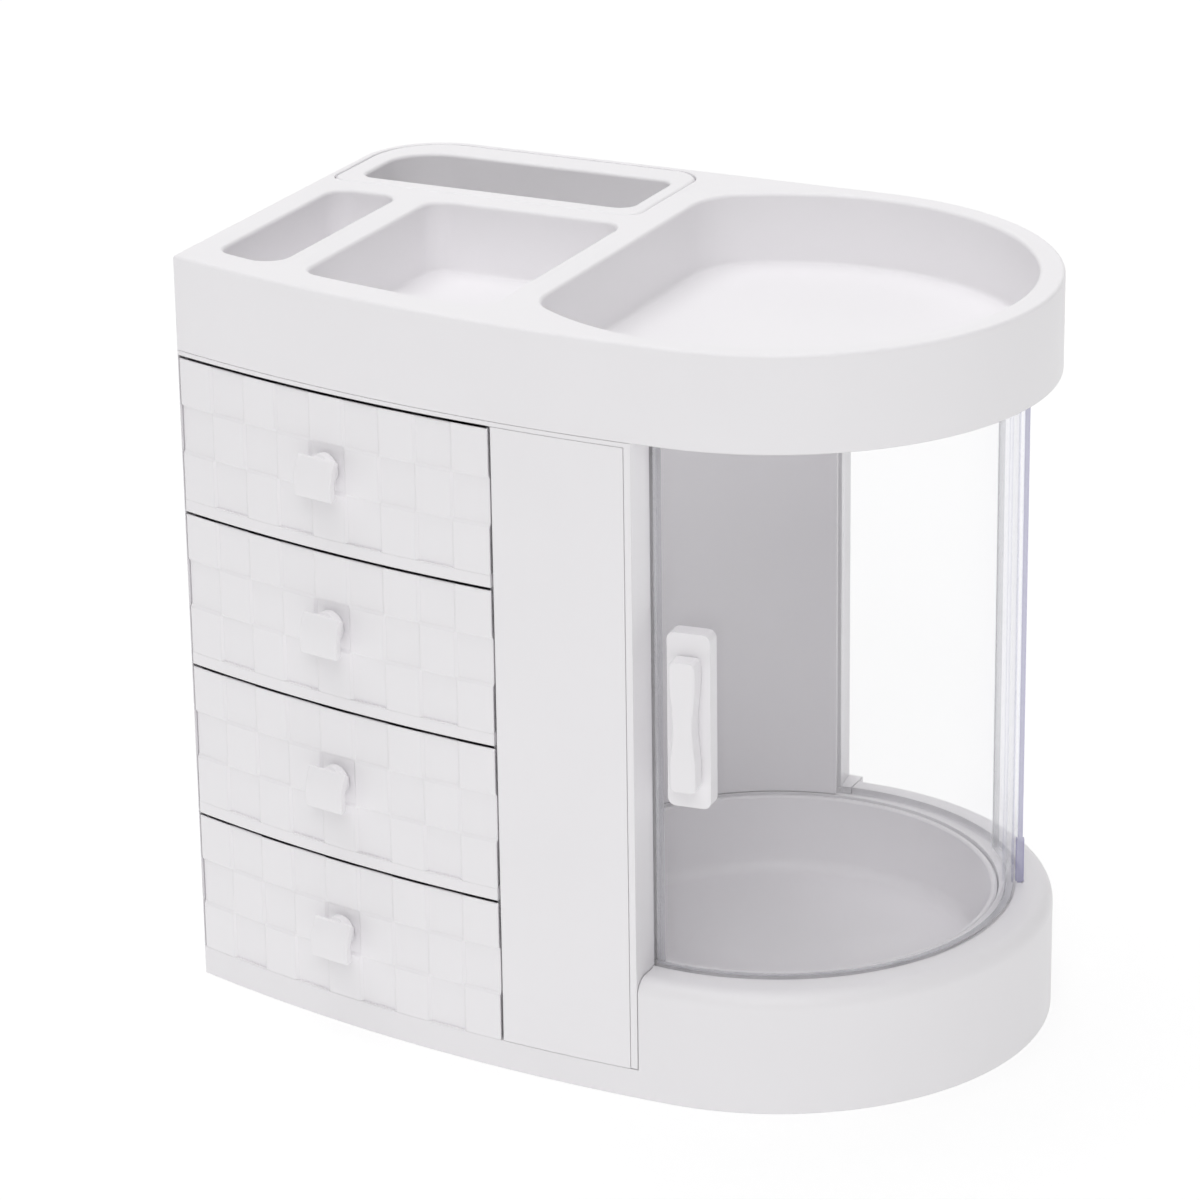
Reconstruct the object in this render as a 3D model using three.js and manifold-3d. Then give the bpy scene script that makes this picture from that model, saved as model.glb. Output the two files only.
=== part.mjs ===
// Makeup organizer: a low cabinet with four drawers, a round compartment behind a
// clear sliding door, a turning bowl, an open tray on top and a lift-out brush bin.
// Millimetres, +Z up. +X runs towards the round end and -Y is the front. The plan is
// drawn round the axis of the round end, then moved so that the origin is on the
// table, halfway between the left wall and the round end.

import * as THREE from 'three';
import { mergeVertices } from 'three/addons/utils/BufferGeometryUtils.js';
import Module from 'manifold-3d';

const wasm = await Module();
wasm.setup();

// Plan of the body
const END_RADIUS = 85;              // outer radius of the round end
const BODY_LEFT = 170.5;            // from the round end's axis to the left wall
const BOW_RADIUS = 535;             // gentle bow of the front
const BOW_SHIFT = 13;               // bow centre's distance left of the axis
const BACK_CORNER_RADIUS = 26;      // rounded corner at the back left

// Gaps between pieces
const SEAT_GAP = 0.3;               // a piece resting on or in another
const SLIDE_GAP = 0.4;              // a drawer over what it slides on
const DRAWER_TOP_GAP = 1;           // dark line above each drawer front
const CUT_OVERRUN = 5;              // how far a cutter runs past a face

// Heights
const FOOT_PROUD = 0.6;             // rubber feet below the base
const SKIRT_TOP = 9.8;              // top of the low base under the drawers
const LEDGE_TOP = 39;               // top of the tall ring round the bowl
const FRONT_HEIGHT = 44.6;          // one drawer front
const BAND_HEIGHT = 3.9;            // front edge of one shelf
const TOP_PLATE = 1.4;              // cabinet's top plate
const TRAY_HEIGHT = 29.4;           // rim of the top tray
const TRAY_DEPTH = 22.6;            // depth of the tray's compartments

// Walls
const WALL = 2.2;                   // cabinet walls
const TRAY_WALL = 2.4;              // tray walls and floors
const BIN_WALL = 2;                 // brush bin
const BOX_WALL = 1.8;               // drawer boxes
const SIDE_LIP = 0.8;               // what shows of the left wall beside the drawers

// Edges
const LEDGE_ROUND = 5;              // rounded outer edge of the tall ring
const RIM_ROUND = 1.2;              // rounded edges of the tray and bin rims
const FLOOR_ROUND = 1.5;            // between a compartment's wall and floor

// Drawer fronts
const DRAWER_COUNT = 4;
const COLUMN_COUNT = 9;             // checker squares along a front
const ROW_COUNT = 3;                // checker squares up a front
const FRONT_RIGHT = 54;             // fronts' right edge, left of the axis
const FRONT_PLATE = 2.5;            // plate behind the checker squares
const SQUARE_RELIEF = 0.9;          // how far a raised square stands out
const SQUARE_MARGIN = 0.15;         // keeps diagonal neighbours apart
const BOX_HEIGHT = 38;
const DRAWER_SPARE = 1.5;           // behind a shut drawer
const BAY_SETBACK = 2;              // back of the drawer bay from the bin's front

// Knobs
const KNOB_WIDTH = 14.4;
const KNOB_HEIGHT = 13.5;
const KNOB_THICKNESS = 2.6;
const KNOB_STEM_RADIUS = 4.9;
const KNOB_STAND_OFF = 6.6;         // drawer front to the middle of the tab's thickness
const KNOB_DROP = 1.45;             // tab's middle below the stem's
const KNOB_BOW_RADIUS = 16;         // curve of the tab
const KNOB_UPPER_SHARE = 0.7;       // of the tab's curve, above its foremost line

// Front filler panel
const PANEL_GAP = 1;                // between the drawers and the panel
const PANEL_RIGHT = 9.9;            // panel's right edge, left of the axis
const PANEL_THICKNESS = 2.5;
const OPENING_EDGE = 7.5;           // where the cabinet ends beside the door
const DOOR_STOP_WIDTH = 3;          // strip of the cabinet along the door's left edge

// Round compartment, walls and clearances from the outside in
const RAIL_INSET = 5.5;             // upper rail's edge from the body's outline
const HOUSING_INSET = 4.3;          // concave housing from the rail's edge
const RING_WALL = 1.5;              // between the housing and the door's groove
const DOOR_GAP = 0.5;               // door to its groove walls
const DOOR_WALL = 2.2;
const PANE_WALL = 1.6;              // fixed clear pane outside the door
const PANE_GAP = 1;                 // between the door and the pane
const LIP_WALL = 1.8;               // lip round the bowl
const HOUSING_WALL = 2.3;
const GROOVE_DEPTH = 2;
const RAIL_DEPTH = 2;               // rail's rings below its plate
const RAIL_PLATE = 1.5;
const DOOR_LIFT = 0.8;              // door above the ledge and below the rail

// Angles round the compartment, degrees, anticlockwise from +X
const DOOR_START_ANGLE = -95.2;
const DOOR_END_ANGLE = 42;
const PANE_START_ANGLE = 22;
const PANE_END_ANGLE = 97.5;
const PANE_HOLD_ANGLE = 5;          // rail's wide part past the pane's ends
const REAR_EDGE_ANGLE = 98.2;       // cabinet's edge behind the pane
const INNER_WALL_START_ANGLE = 98;
const INNER_WALL_END_ANGLE = 263.5;
const HANDLE_ANGLE = -84.8;
const GUIDE_ANGLES = [-89, -35, 14];

// Door handle
const HANDLE_WIDTH = 13.4;
const HANDLE_HEIGHT = 54.3;
const HANDLE_MIDDLE = 122.1;        // height of its middle
const HANDLE_THICKNESS = 5.7;
const HANDLE_CORNER = 2.4;
const GRIP_HEIGHT = 40.5;
const GRIP_WIDTH = 8.2;
const GRIP_WAIST = 6.2;
const GRIP_THICKNESS = 5.8;
const GRIP_SHOULDER_SHARE = 0.72;   // where the grip is widest, of its half height
const GRIP_END_SHARE = 0.8;         // flat of its ends, of its width
const GUIDE_LENGTH = 5;
const PANE_FOOT_HEIGHT = 14;
const PANE_FOOT_WIDTH = 2.6;
const PANE_FOOT_PROUD = 0.5;

// Turning bowl
const BOWL_GAP = 0.5;
const BOWL_FLOOR = 13;              // height of the bowl's inside floor
const BOWL_WALL = 2;
const HUB_RADIUS = 8;
const SPINDLE_RADIUS = 4.6;
const WELL_FLOOR = 4;               // base floor under the bowl

// Tray compartments
const SIDE_RIM = 10;                // rim width along the left wall
const NARROW_WIDTH = 22.7;
const NARROW_RIDGE = 11.3;          // ridge between the narrow and middle ones
const ROUND_RIDGE = 10.4;           // ridge between the middle and round ones
const ROUND_LEFT_SHARE = 0.588;     // round one's straight side, of the end's radius
const POCKET_FRONT_INSET = 12.6;    // rim width along the bowed front
const BIN_RIDGE = 9;                // ridge between the bin and the compartments
const ROUND_RIM = 7.7;              // rim width round the round compartment
const POCKET_CORNER = 7;
const ROUND_FRONT_CORNER = 15;
const ROUND_BACK_CORNER = 20;

// Brush bin
const BIN_LENGTH = 51;              // front to back
const BIN_RIGHT = 61;
const BIN_SIDE_STRIP = 3;           // tray wall left outside the bin
const BIN_RIM_LEFT = 7.4;
const BIN_RIM_RIGHT = 5.5;
const BIN_RIM_FRONT = 6.4;
const BIN_RIM_BACK = 11.2;
const BIN_FRONT_CORNER = 5;
const BIN_RIGHT_CORNER = 10;
const BIN_DEPTH = 96;
const BIN_SHOULDER = 29.4;          // depth at which the bin narrows
const BIN_SPARE = 3.6;              // narrow part's wall from the housing

// Back panel
const BACK_PANEL_INSET = 32.5;      // panel's left edge from the left wall
const BACK_PANEL_RIGHT = 22;
const BACK_PANEL_MARGIN = 14;
const BACK_PANEL_THICKNESS = 1.2;
const BACK_PANEL_REBATE = 4;
const REAR_POST_LEFT = 15;          // post between the back panel and the clear pane

// Supports, feet and screws
const RUNNER_WIDTH = 1.6;
const RUNNER_HEIGHT = 1.6;
const FOOT_RADIUS = 7;
const FOOT_THICKNESS = 2;
const FOOT_BOSS_WALL = 2;
const FOOT_INSET = 16;
const FOOT_SIDE_INSET = 11;
const SCREW_RADIUS = 1.5;
const SCREW_HEAD_RADIUS = 3.2;
const SCREW_HEAD = 1.8;
const SCREW_LENGTH = 8.6;
const BOSS_RADIUS = 4;
const BOSS_HEIGHT = 8.6;
const SCREW_PANEL_X = 30;           // screw behind the filler panel
const SCREW_INSET = 13;
const BOSS_INSET = 3;               // screw bosses' middle from the wall they stand on
const TRAY_SCREW_INSET = 20.5;
const TRAY_SCREW_SETBACK = 8.5;

// Counts of straight steps in round outlines
const BOW_STEPS = 9;
const END_STEPS = 26;
const CORNER_STEPS = 5;
const RING_STEPS = 48;
const PIN_STEPS = 12;
const DEGREES_PER_STEP = 7.5;

// Heights that follow
const DRAWER_PITCH = SLIDE_GAP + FRONT_HEIGHT + DRAWER_TOP_GAP + BAND_HEIGHT;
const PLATE_UNDERSIDE = SKIRT_TOP + DRAWER_COUNT * DRAWER_PITCH - BAND_HEIGHT;
const CABINET_TOP = PLATE_UNDERSIDE + TOP_PLATE;
const TRAY_BOTTOM = CABINET_TOP + SEAT_GAP;
const TOTAL_HEIGHT = TRAY_BOTTOM + TRAY_HEIGHT;
const TRAY_FLOOR = TOTAL_HEIGHT - TRAY_DEPTH;
const RAIL_UNDERSIDE = CABINET_TOP - RAIL_PLATE;
const DOOR_BOTTOM = LEDGE_TOP + DOOR_LIFT;
const DOOR_TOP = RAIL_UNDERSIDE - DOOR_LIFT;
const BACK = END_RADIUS;
const AXIS_X = (BODY_LEFT - END_RADIUS) / 2;
const BIN_FRONT = BACK - BIN_SIDE_STRIP - BIN_LENGTH;
const BAY_BACK = BIN_FRONT - BAY_SETBACK;
const DRAWER_BACK = BAY_BACK - DRAWER_SPARE;
const POCKET_BACK = BIN_FRONT - BIN_RIDGE;
const TRAY_SCREW_Y = POCKET_BACK - TRAY_SCREW_SETBACK;
const BAY_LEFT = BODY_LEFT - WALL;
const BAY_RIGHT = FRONT_RIGHT + WALL;
const REAR_BAY_FRONT = BAY_BACK + WALL;
const FRONT_BACKSIDE = SQUARE_RELIEF + FRONT_PLATE;
const FRONT_LEFT = BODY_LEFT - SIDE_LIP - SEAT_GAP;
const BAY_FRONT_INSET = FRONT_BACKSIDE + SLIDE_GAP;
const PANEL_LEFT = FRONT_RIGHT - PANEL_GAP;

const bowCentre = new THREE.Vector2(
  -BOW_SHIFT,
  Math.sqrt((BOW_RADIUS - END_RADIUS) ** 2 - BOW_SHIFT ** 2),
);

const radians = THREE.MathUtils.degToRad;

// Round compartment's radii
const RAIL_RADIUS = END_RADIUS - RAIL_INSET;
const HOUSING_RADIUS = RAIL_RADIUS - HOUSING_INSET;
const HOUSING_OUTSIDE = HOUSING_RADIUS + HOUSING_WALL;
const DISC_RADIUS = HOUSING_RADIUS - SEAT_GAP;
const DOOR_RADIUS = DISC_RADIUS - RING_WALL - DOOR_GAP;
const PANE_RADIUS = DOOR_RADIUS + PANE_GAP + PANE_WALL;
const LIP_OUTSIDE = DOOR_RADIUS - DOOR_WALL - DOOR_GAP;
const LIP_RADIUS = LIP_OUTSIDE - LIP_WALL;

// Tray, bin and back panel, distances left of the axis
const NARROW_LEFT = BODY_LEFT - SIDE_RIM;
const NARROW_RIGHT = NARROW_LEFT - NARROW_WIDTH;
const MIDDLE_LEFT = NARROW_RIGHT - NARROW_RIDGE;
const ROUND_LEFT = END_RADIUS * ROUND_LEFT_SHARE;
const MIDDLE_RIGHT = ROUND_LEFT + ROUND_RIDGE;
const TRAY_SCREW_X = BODY_LEFT - TRAY_SCREW_INSET;
const BACK_PANEL_LEFT = BODY_LEFT - BACK_PANEL_INSET;
const BIN_INNER_FRONT = BIN_FRONT + BIN_RIM_FRONT;
const HOUSING_AT_BIN = Math.sqrt(HOUSING_OUTSIDE ** 2 - (BIN_INNER_FRONT - BIN_WALL) ** 2);
const BIN_LOWER_RIGHT = HOUSING_AT_BIN + BIN_SPARE + BIN_WALL;

// Height of the surface that drawer n slides on; drawer 1 is the top one
function bayFloor(n) {
  return SKIRT_TOP + (DRAWER_COUNT - n) * DRAWER_PITCH;
}

// Front's y at a given x, pushed inwards by an inset
function frontY(x, inset) {
  return bowCentre.y - Math.sqrt((BOW_RADIUS - inset) ** 2 - (x - bowCentre.x) ** 2);
}

// Points and solids

function arcPoints(cx, cy, radius, from, to, steps) {
  const points = [];
  for (let i = 0; i <= steps; i++) {
    const angle = from + (to - from) * i / steps;
    points.push(new THREE.Vector2(cx + radius * Math.cos(angle), cy + radius * Math.sin(angle)));
  }
  return points;
}

function stepsFor(from, to) {
  return Math.ceil(Math.abs(THREE.MathUtils.radToDeg(to - from)) / DEGREES_PER_STEP);
}

// Rounds the corners of a closed polygon; each corner is [x, y, radius]
function roundedPath(corners) {
  const points = [];
  corners.forEach(([x, y, radius], i) => {
    const corner = new THREE.Vector2(x, y);
    if (!radius) {
      points.push(corner);
      return;
    }
    const before = corners[(i + corners.length - 1) % corners.length];
    const after = corners[(i + 1) % corners.length];
    const toBefore = new THREE.Vector2(before[0], before[1]).sub(corner).normalize();
    const toAfter = new THREE.Vector2(after[0], after[1]).sub(corner).normalize();
    const half = Math.acos(THREE.MathUtils.clamp(toBefore.dot(toAfter), -1, 1)) / 2;
    const middle = toBefore.clone().add(toAfter).normalize();
    const centre = corner.clone().addScaledVector(middle, radius / Math.sin(half));
    const reach = radius / Math.tan(half);
    const start = corner.clone().addScaledVector(toBefore, reach).sub(centre).angle();
    const end = corner.clone().addScaledVector(toAfter, reach).sub(centre).angle();
    let sweep = end - start;
    if (sweep > Math.PI) sweep -= 2 * Math.PI;
    if (sweep < -Math.PI) sweep += 2 * Math.PI;
    points.push(...arcPoints(centre.x, centre.y, radius, start, start + sweep, CORNER_STEPS));
  });
  return points;
}

// Closed solid through rings of equally many points at rising heights
function loft(rings) {
  const count = rings[0].points.length;
  const positions = [];
  rings.forEach(({ points, z }) => points.forEach((p) => positions.push(p.x, p.y, z)));
  const index = [];
  for (let r = 0; r + 1 < rings.length; r++) {
    for (let i = 0; i < count; i++) {
      const a = r * count + i;
      const b = r * count + (i + 1) % count;
      index.push(a, b, b + count, a, b + count, a + count);
    }
  }
  const top = (rings.length - 1) * count;
  THREE.ShapeUtils.triangulateShape(rings[0].points, []).forEach(([a, b, c]) => index.push(a, c, b));
  THREE.ShapeUtils.triangulateShape(rings[rings.length - 1].points, [])
    .forEach(([a, b, c]) => index.push(top + a, top + b, top + c));
  const geometry = new THREE.BufferGeometry();
  geometry.setAttribute('position', new THREE.Float32BufferAttribute(positions, 3));
  geometry.setIndex(index);
  return solid(geometry);
}

function solid(geometry) {
  const bare = geometry.clone();
  bare.deleteAttribute('normal');
  bare.deleteAttribute('uv');
  const merged = mergeVertices(bare);
  return new wasm.Manifold(new wasm.Mesh({
    numProp: 3,
    vertProperties: new Float32Array(merged.attributes.position.array),
    triVerts: new Uint32Array(merged.index.array),
  }));
}

function geometryOf(body) {
  const mesh = body.getMesh();
  const positions = [];
  for (let i = 0; i < mesh.vertProperties.length; i += mesh.numProp) {
    positions.push(...mesh.vertProperties.slice(i, i + 3));
  }
  const geometry = new THREE.BufferGeometry();
  geometry.setAttribute('position', new THREE.Float32BufferAttribute(positions, 3));
  geometry.setIndex(Array.from(mesh.triVerts));
  geometry.computeVertexNormals();
  return geometry;
}

function prism(points, bottom, top) {
  const shape = new THREE.Shape(points);
  const geometry = new THREE.ExtrudeGeometry(shape, { depth: top - bottom, bevelEnabled: false });
  geometry.translate(0, 0, bottom);
  return solid(geometry);
}

function block(left, right, front, back, bottom, top) {
  const geometry = new THREE.BoxGeometry(right - left, back - front, top - bottom);
  geometry.translate((left + right) / 2, (front + back) / 2, (bottom + top) / 2);
  return solid(geometry);
}

function disc(radius, bottom, top, x = 0, y = 0, steps = RING_STEPS) {
  const geometry = new THREE.CylinderGeometry(radius, radius, top - bottom, steps);
  geometry.rotateX(Math.PI / 2);
  geometry.translate(x, y, (bottom + top) / 2);
  return solid(geometry);
}

function ring(inner, outer, bottom, top) {
  return disc(outer, bottom, top).subtract(disc(inner, bottom - CUT_OVERRUN, top + CUT_OVERRUN));
}

// Curved wall between two angles
function arcBand(inner, outer, from, to, bottom, top) {
  const steps = stepsFor(radians(from), radians(to));
  const points = arcPoints(0, 0, outer, radians(from), radians(to), steps)
    .concat(arcPoints(0, 0, inner, radians(to), radians(from), steps));
  return prism(points, bottom, top);
}

function lathe(profile, steps = RING_STEPS) {
  const geometry = new THREE.LatheGeometry(profile.map(([r, z]) => new THREE.Vector2(r, z)), steps);
  geometry.rotateX(Math.PI / 2);
  return solid(geometry);
}

// Heights and insets of a rounded upper edge, from its foot to the flat top
function roundedTop(top, radius, steps) {
  const list = [];
  for (let i = 0; i <= steps; i++) {
    const angle = i / steps * Math.PI / 2;
    list.push({ inset: radius * (1 - Math.cos(angle)), z: top - radius * (1 - Math.sin(angle)) });
  }
  return list;
}

// Outlines of the plan, each pushed inwards by an inset

function bowPoints(left, right, inset) {
  const points = [];
  for (let i = 0; i <= BOW_STEPS; i++) {
    const x = left + (right - left) * i / BOW_STEPS;
    points.push(new THREE.Vector2(x, frontY(x, inset)));
  }
  return points;
}

function bodyOutline(inset) {
  const tangent = Math.atan2(-bowCentre.y, -bowCentre.x);
  const touch = END_RADIUS * Math.cos(tangent);
  const radius = END_RADIUS - inset;
  const corner = BACK_CORNER_RADIUS - inset;
  const left = -BODY_LEFT + inset;
  const bow = bowPoints(left, touch * radius / END_RADIUS, inset).slice(0, -1);
  const end = arcPoints(0, 0, radius, tangent, Math.PI / 2, END_STEPS);
  const cornerY = BACK - inset - corner;
  return [...bow, ...end, ...arcPoints(left + corner, cornerY, corner, Math.PI / 2, Math.PI, CORNER_STEPS)];
}

// Compartment with a bowed front, straight sides and a straight back
function bowedPocket(left, right, inset) {
  const front = POCKET_FRONT_INSET + inset;
  const radius = POCKET_CORNER - inset;
  const from = -left + inset;
  const to = -right - inset;
  const reach = 2 * POCKET_CORNER;
  const bow = bowPoints(-left + reach, -right - reach, front).filter((_, i) => i % 3 === 0);
  return roundedPath([
    [from, frontY(from, front), radius],
    ...(left - right > 2.5 * reach ? bow.map((p) => [p.x, p.y, 0]) : []),
    [to, frontY(to, front), radius],
    [to, POCKET_BACK - inset, radius],
    [from, POCKET_BACK - inset, radius],
  ]);
}

// D-shaped compartment: a straight left side and a round end
function roundPocket(inset) {
  const radius = END_RADIUS - ROUND_RIM - inset;
  const left = -ROUND_LEFT + inset;
  const frontCorner = ROUND_FRONT_CORNER - inset;
  const backCorner = ROUND_BACK_CORNER - inset;
  const frontY0 = -Math.sqrt((radius - frontCorner) ** 2 - (left + frontCorner) ** 2);
  const backY0 = Math.sqrt((radius - backCorner) ** 2 - (left + backCorner) ** 2);
  const frontTurn = Math.atan2(frontY0, left + frontCorner);
  const backTurn = Math.atan2(backY0, left + backCorner);
  return [
    ...arcPoints(left + frontCorner, frontY0, frontCorner, -Math.PI, frontTurn, CORNER_STEPS),
    ...arcPoints(0, 0, radius, frontTurn, backTurn, END_STEPS).slice(1, -1),
    ...arcPoints(left + backCorner, backY0, backCorner, backTurn, Math.PI, CORNER_STEPS),
  ];
}

// Outer outline of the brush bin's rim
function binOutline(inset) {
  const left = -BODY_LEFT + BIN_SIDE_STRIP + inset;
  const right = -BIN_RIGHT - inset;
  const back = BACK - BIN_SIDE_STRIP - inset;
  return roundedPath([
    [left, BIN_FRONT + inset, BIN_FRONT_CORNER - inset],
    [right, BIN_FRONT + inset, BIN_FRONT_CORNER - inset],
    [right, back, BIN_RIGHT_CORNER - inset],
    [left, back, BACK_CORNER_RADIUS - BIN_SIDE_STRIP - inset],
  ]);
}

// Inside of the brush bin, down to a right side at a chosen place
function binCavity(right, inset) {
  const left = -BODY_LEFT + BIN_SIDE_STRIP + BIN_RIM_LEFT + inset;
  const front = BIN_INNER_FRONT + inset;
  const back = BACK - BIN_SIDE_STRIP - BIN_RIM_BACK - inset;
  const radius = BIN_FRONT_CORNER - inset;
  return roundedPath([
    [left, front, radius],
    [-right - inset, front, radius],
    [-right - inset, back, radius],
    [left, back, BACK_CORNER_RADIUS - BIN_SIDE_STRIP - BIN_RIM_LEFT - inset],
  ]);
}

// Plan of a drawer box, or of the bay round it: its right side first runs
// straight back and then hugs the round compartment's housing
function drawerPlan(left, right, frontInset, back, housing) {
  const turn = Math.atan2(-Math.sqrt(housing ** 2 - right ** 2), -right);
  return [
    ...bowPoints(-left, -right, frontInset),
    ...arcPoints(0, 0, housing, turn, -Math.PI, stepsFor(turn, -Math.PI)),
    new THREE.Vector2(-housing, back),
    new THREE.Vector2(-left, back),
  ];
}

// Base: a low skirt under the cabinet and a tall ring round the bowl's well

function footPlaces() {
  const left = -BODY_LEFT + FOOT_INSET;
  const right = END_RADIUS - FOOT_SIDE_INSET;
  return [
    [left, frontY(left, FOOT_INSET)],
    [-OPENING_EDGE, frontY(-OPENING_EDGE, FOOT_SIDE_INSET)],
    [right, 0],
    [-OPENING_EDGE, BACK - FOOT_SIDE_INSET],
    [left, BACK - FOOT_INSET],
  ];
}

function baseScrewPlaces() {
  const besideHousing = HOUSING_OUTSIDE + BOSS_INSET;
  return [
    [-BAY_LEFT + BOSS_INSET, REAR_BAY_FRONT + SCREW_HEAD_RADIUS * 2],
    [-BIN_LOWER_RIGHT + SCREW_INSET, BACK - WALL - BOSS_INSET],
    [-SCREW_PANEL_X, -Math.sqrt(besideHousing ** 2 - SCREW_PANEL_X ** 2)],
  ];
}

function buildBase() {
  const below = -CUT_OVERRUN;
  const above = LEDGE_TOP + CUT_OVERRUN;
  const grooveFloor = LEDGE_TOP - GROOVE_DEPTH;
  const far = BODY_LEFT * 2;
  const openSide = block(-OPENING_EDGE + SEAT_GAP, far, -far, far, below, above);
  const ledge = loft([
    { points: bodyOutline(0), z: FOOT_PROUD },
    ...roundedTop(LEDGE_TOP, LEDGE_ROUND, 3).map(({ inset, z }) => ({ points: bodyOutline(inset), z })),
  ]).intersect(openSide);
  const core = disc(DISC_RADIUS, FOOT_PROUD, LEDGE_TOP);
  let base = prism(bodyOutline(0), FOOT_PROUD, SKIRT_TOP).add(ledge).add(core);

  const underSkirt = prism(bodyOutline(WALL), below, SKIRT_TOP - WALL);
  const underLedge = prism(bodyOutline(WALL), below, grooveFloor - WALL).intersect(openSide);
  base = base.subtract(underSkirt.add(underLedge).subtract(disc(LIP_OUTSIDE + WALL, below, above)));

  base = base.subtract(disc(LIP_RADIUS, WELL_FLOOR, above));
  base = base.subtract(ring(LIP_OUTSIDE, DOOR_RADIUS + DOOR_GAP, grooveFloor, above));
  base = base.subtract(paneSlot(grooveFloor, above));

  footPlaces().forEach(([x, y]) => {
    const boss = disc(FOOT_RADIUS + FOOT_BOSS_WALL, FOOT_PROUD, SKIRT_TOP - WALL / 2, x, y, PIN_STEPS);
    const seat = disc(FOOT_RADIUS + SEAT_GAP, below, FOOT_THICKNESS + SEAT_GAP, x, y, PIN_STEPS);
    base = base.add(boss).subtract(seat);
  });
  baseScrewPlaces().forEach(([x, y]) => {
    base = base.add(disc(SCREW_HEAD_RADIUS + WALL / 2, FOOT_PROUD, SKIRT_TOP, x, y, PIN_STEPS));
    base = base.subtract(disc(SCREW_HEAD_RADIUS + SEAT_GAP, below, SKIRT_TOP - WALL, x, y, PIN_STEPS));
    base = base.subtract(disc(SCREW_RADIUS + SEAT_GAP, below, above, x, y, PIN_STEPS));
  });
  return base;
}

function buildFoot([x, y]) {
  return disc(FOOT_RADIUS, 0, FOOT_THICKNESS, x, y, PIN_STEPS);
}

// Screw with its head's underside at a height and its tip at another
function buildScrew([x, y], headTop, tip) {
  const head = disc(SCREW_HEAD_RADIUS, headTop - SCREW_HEAD, headTop, x, y, PIN_STEPS);
  return head.add(disc(SCREW_RADIUS, headTop - SCREW_HEAD, tip, x, y, PIN_STEPS));
}

// Cabinet: outer walls, the concave housing, the bays and the top plate

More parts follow.
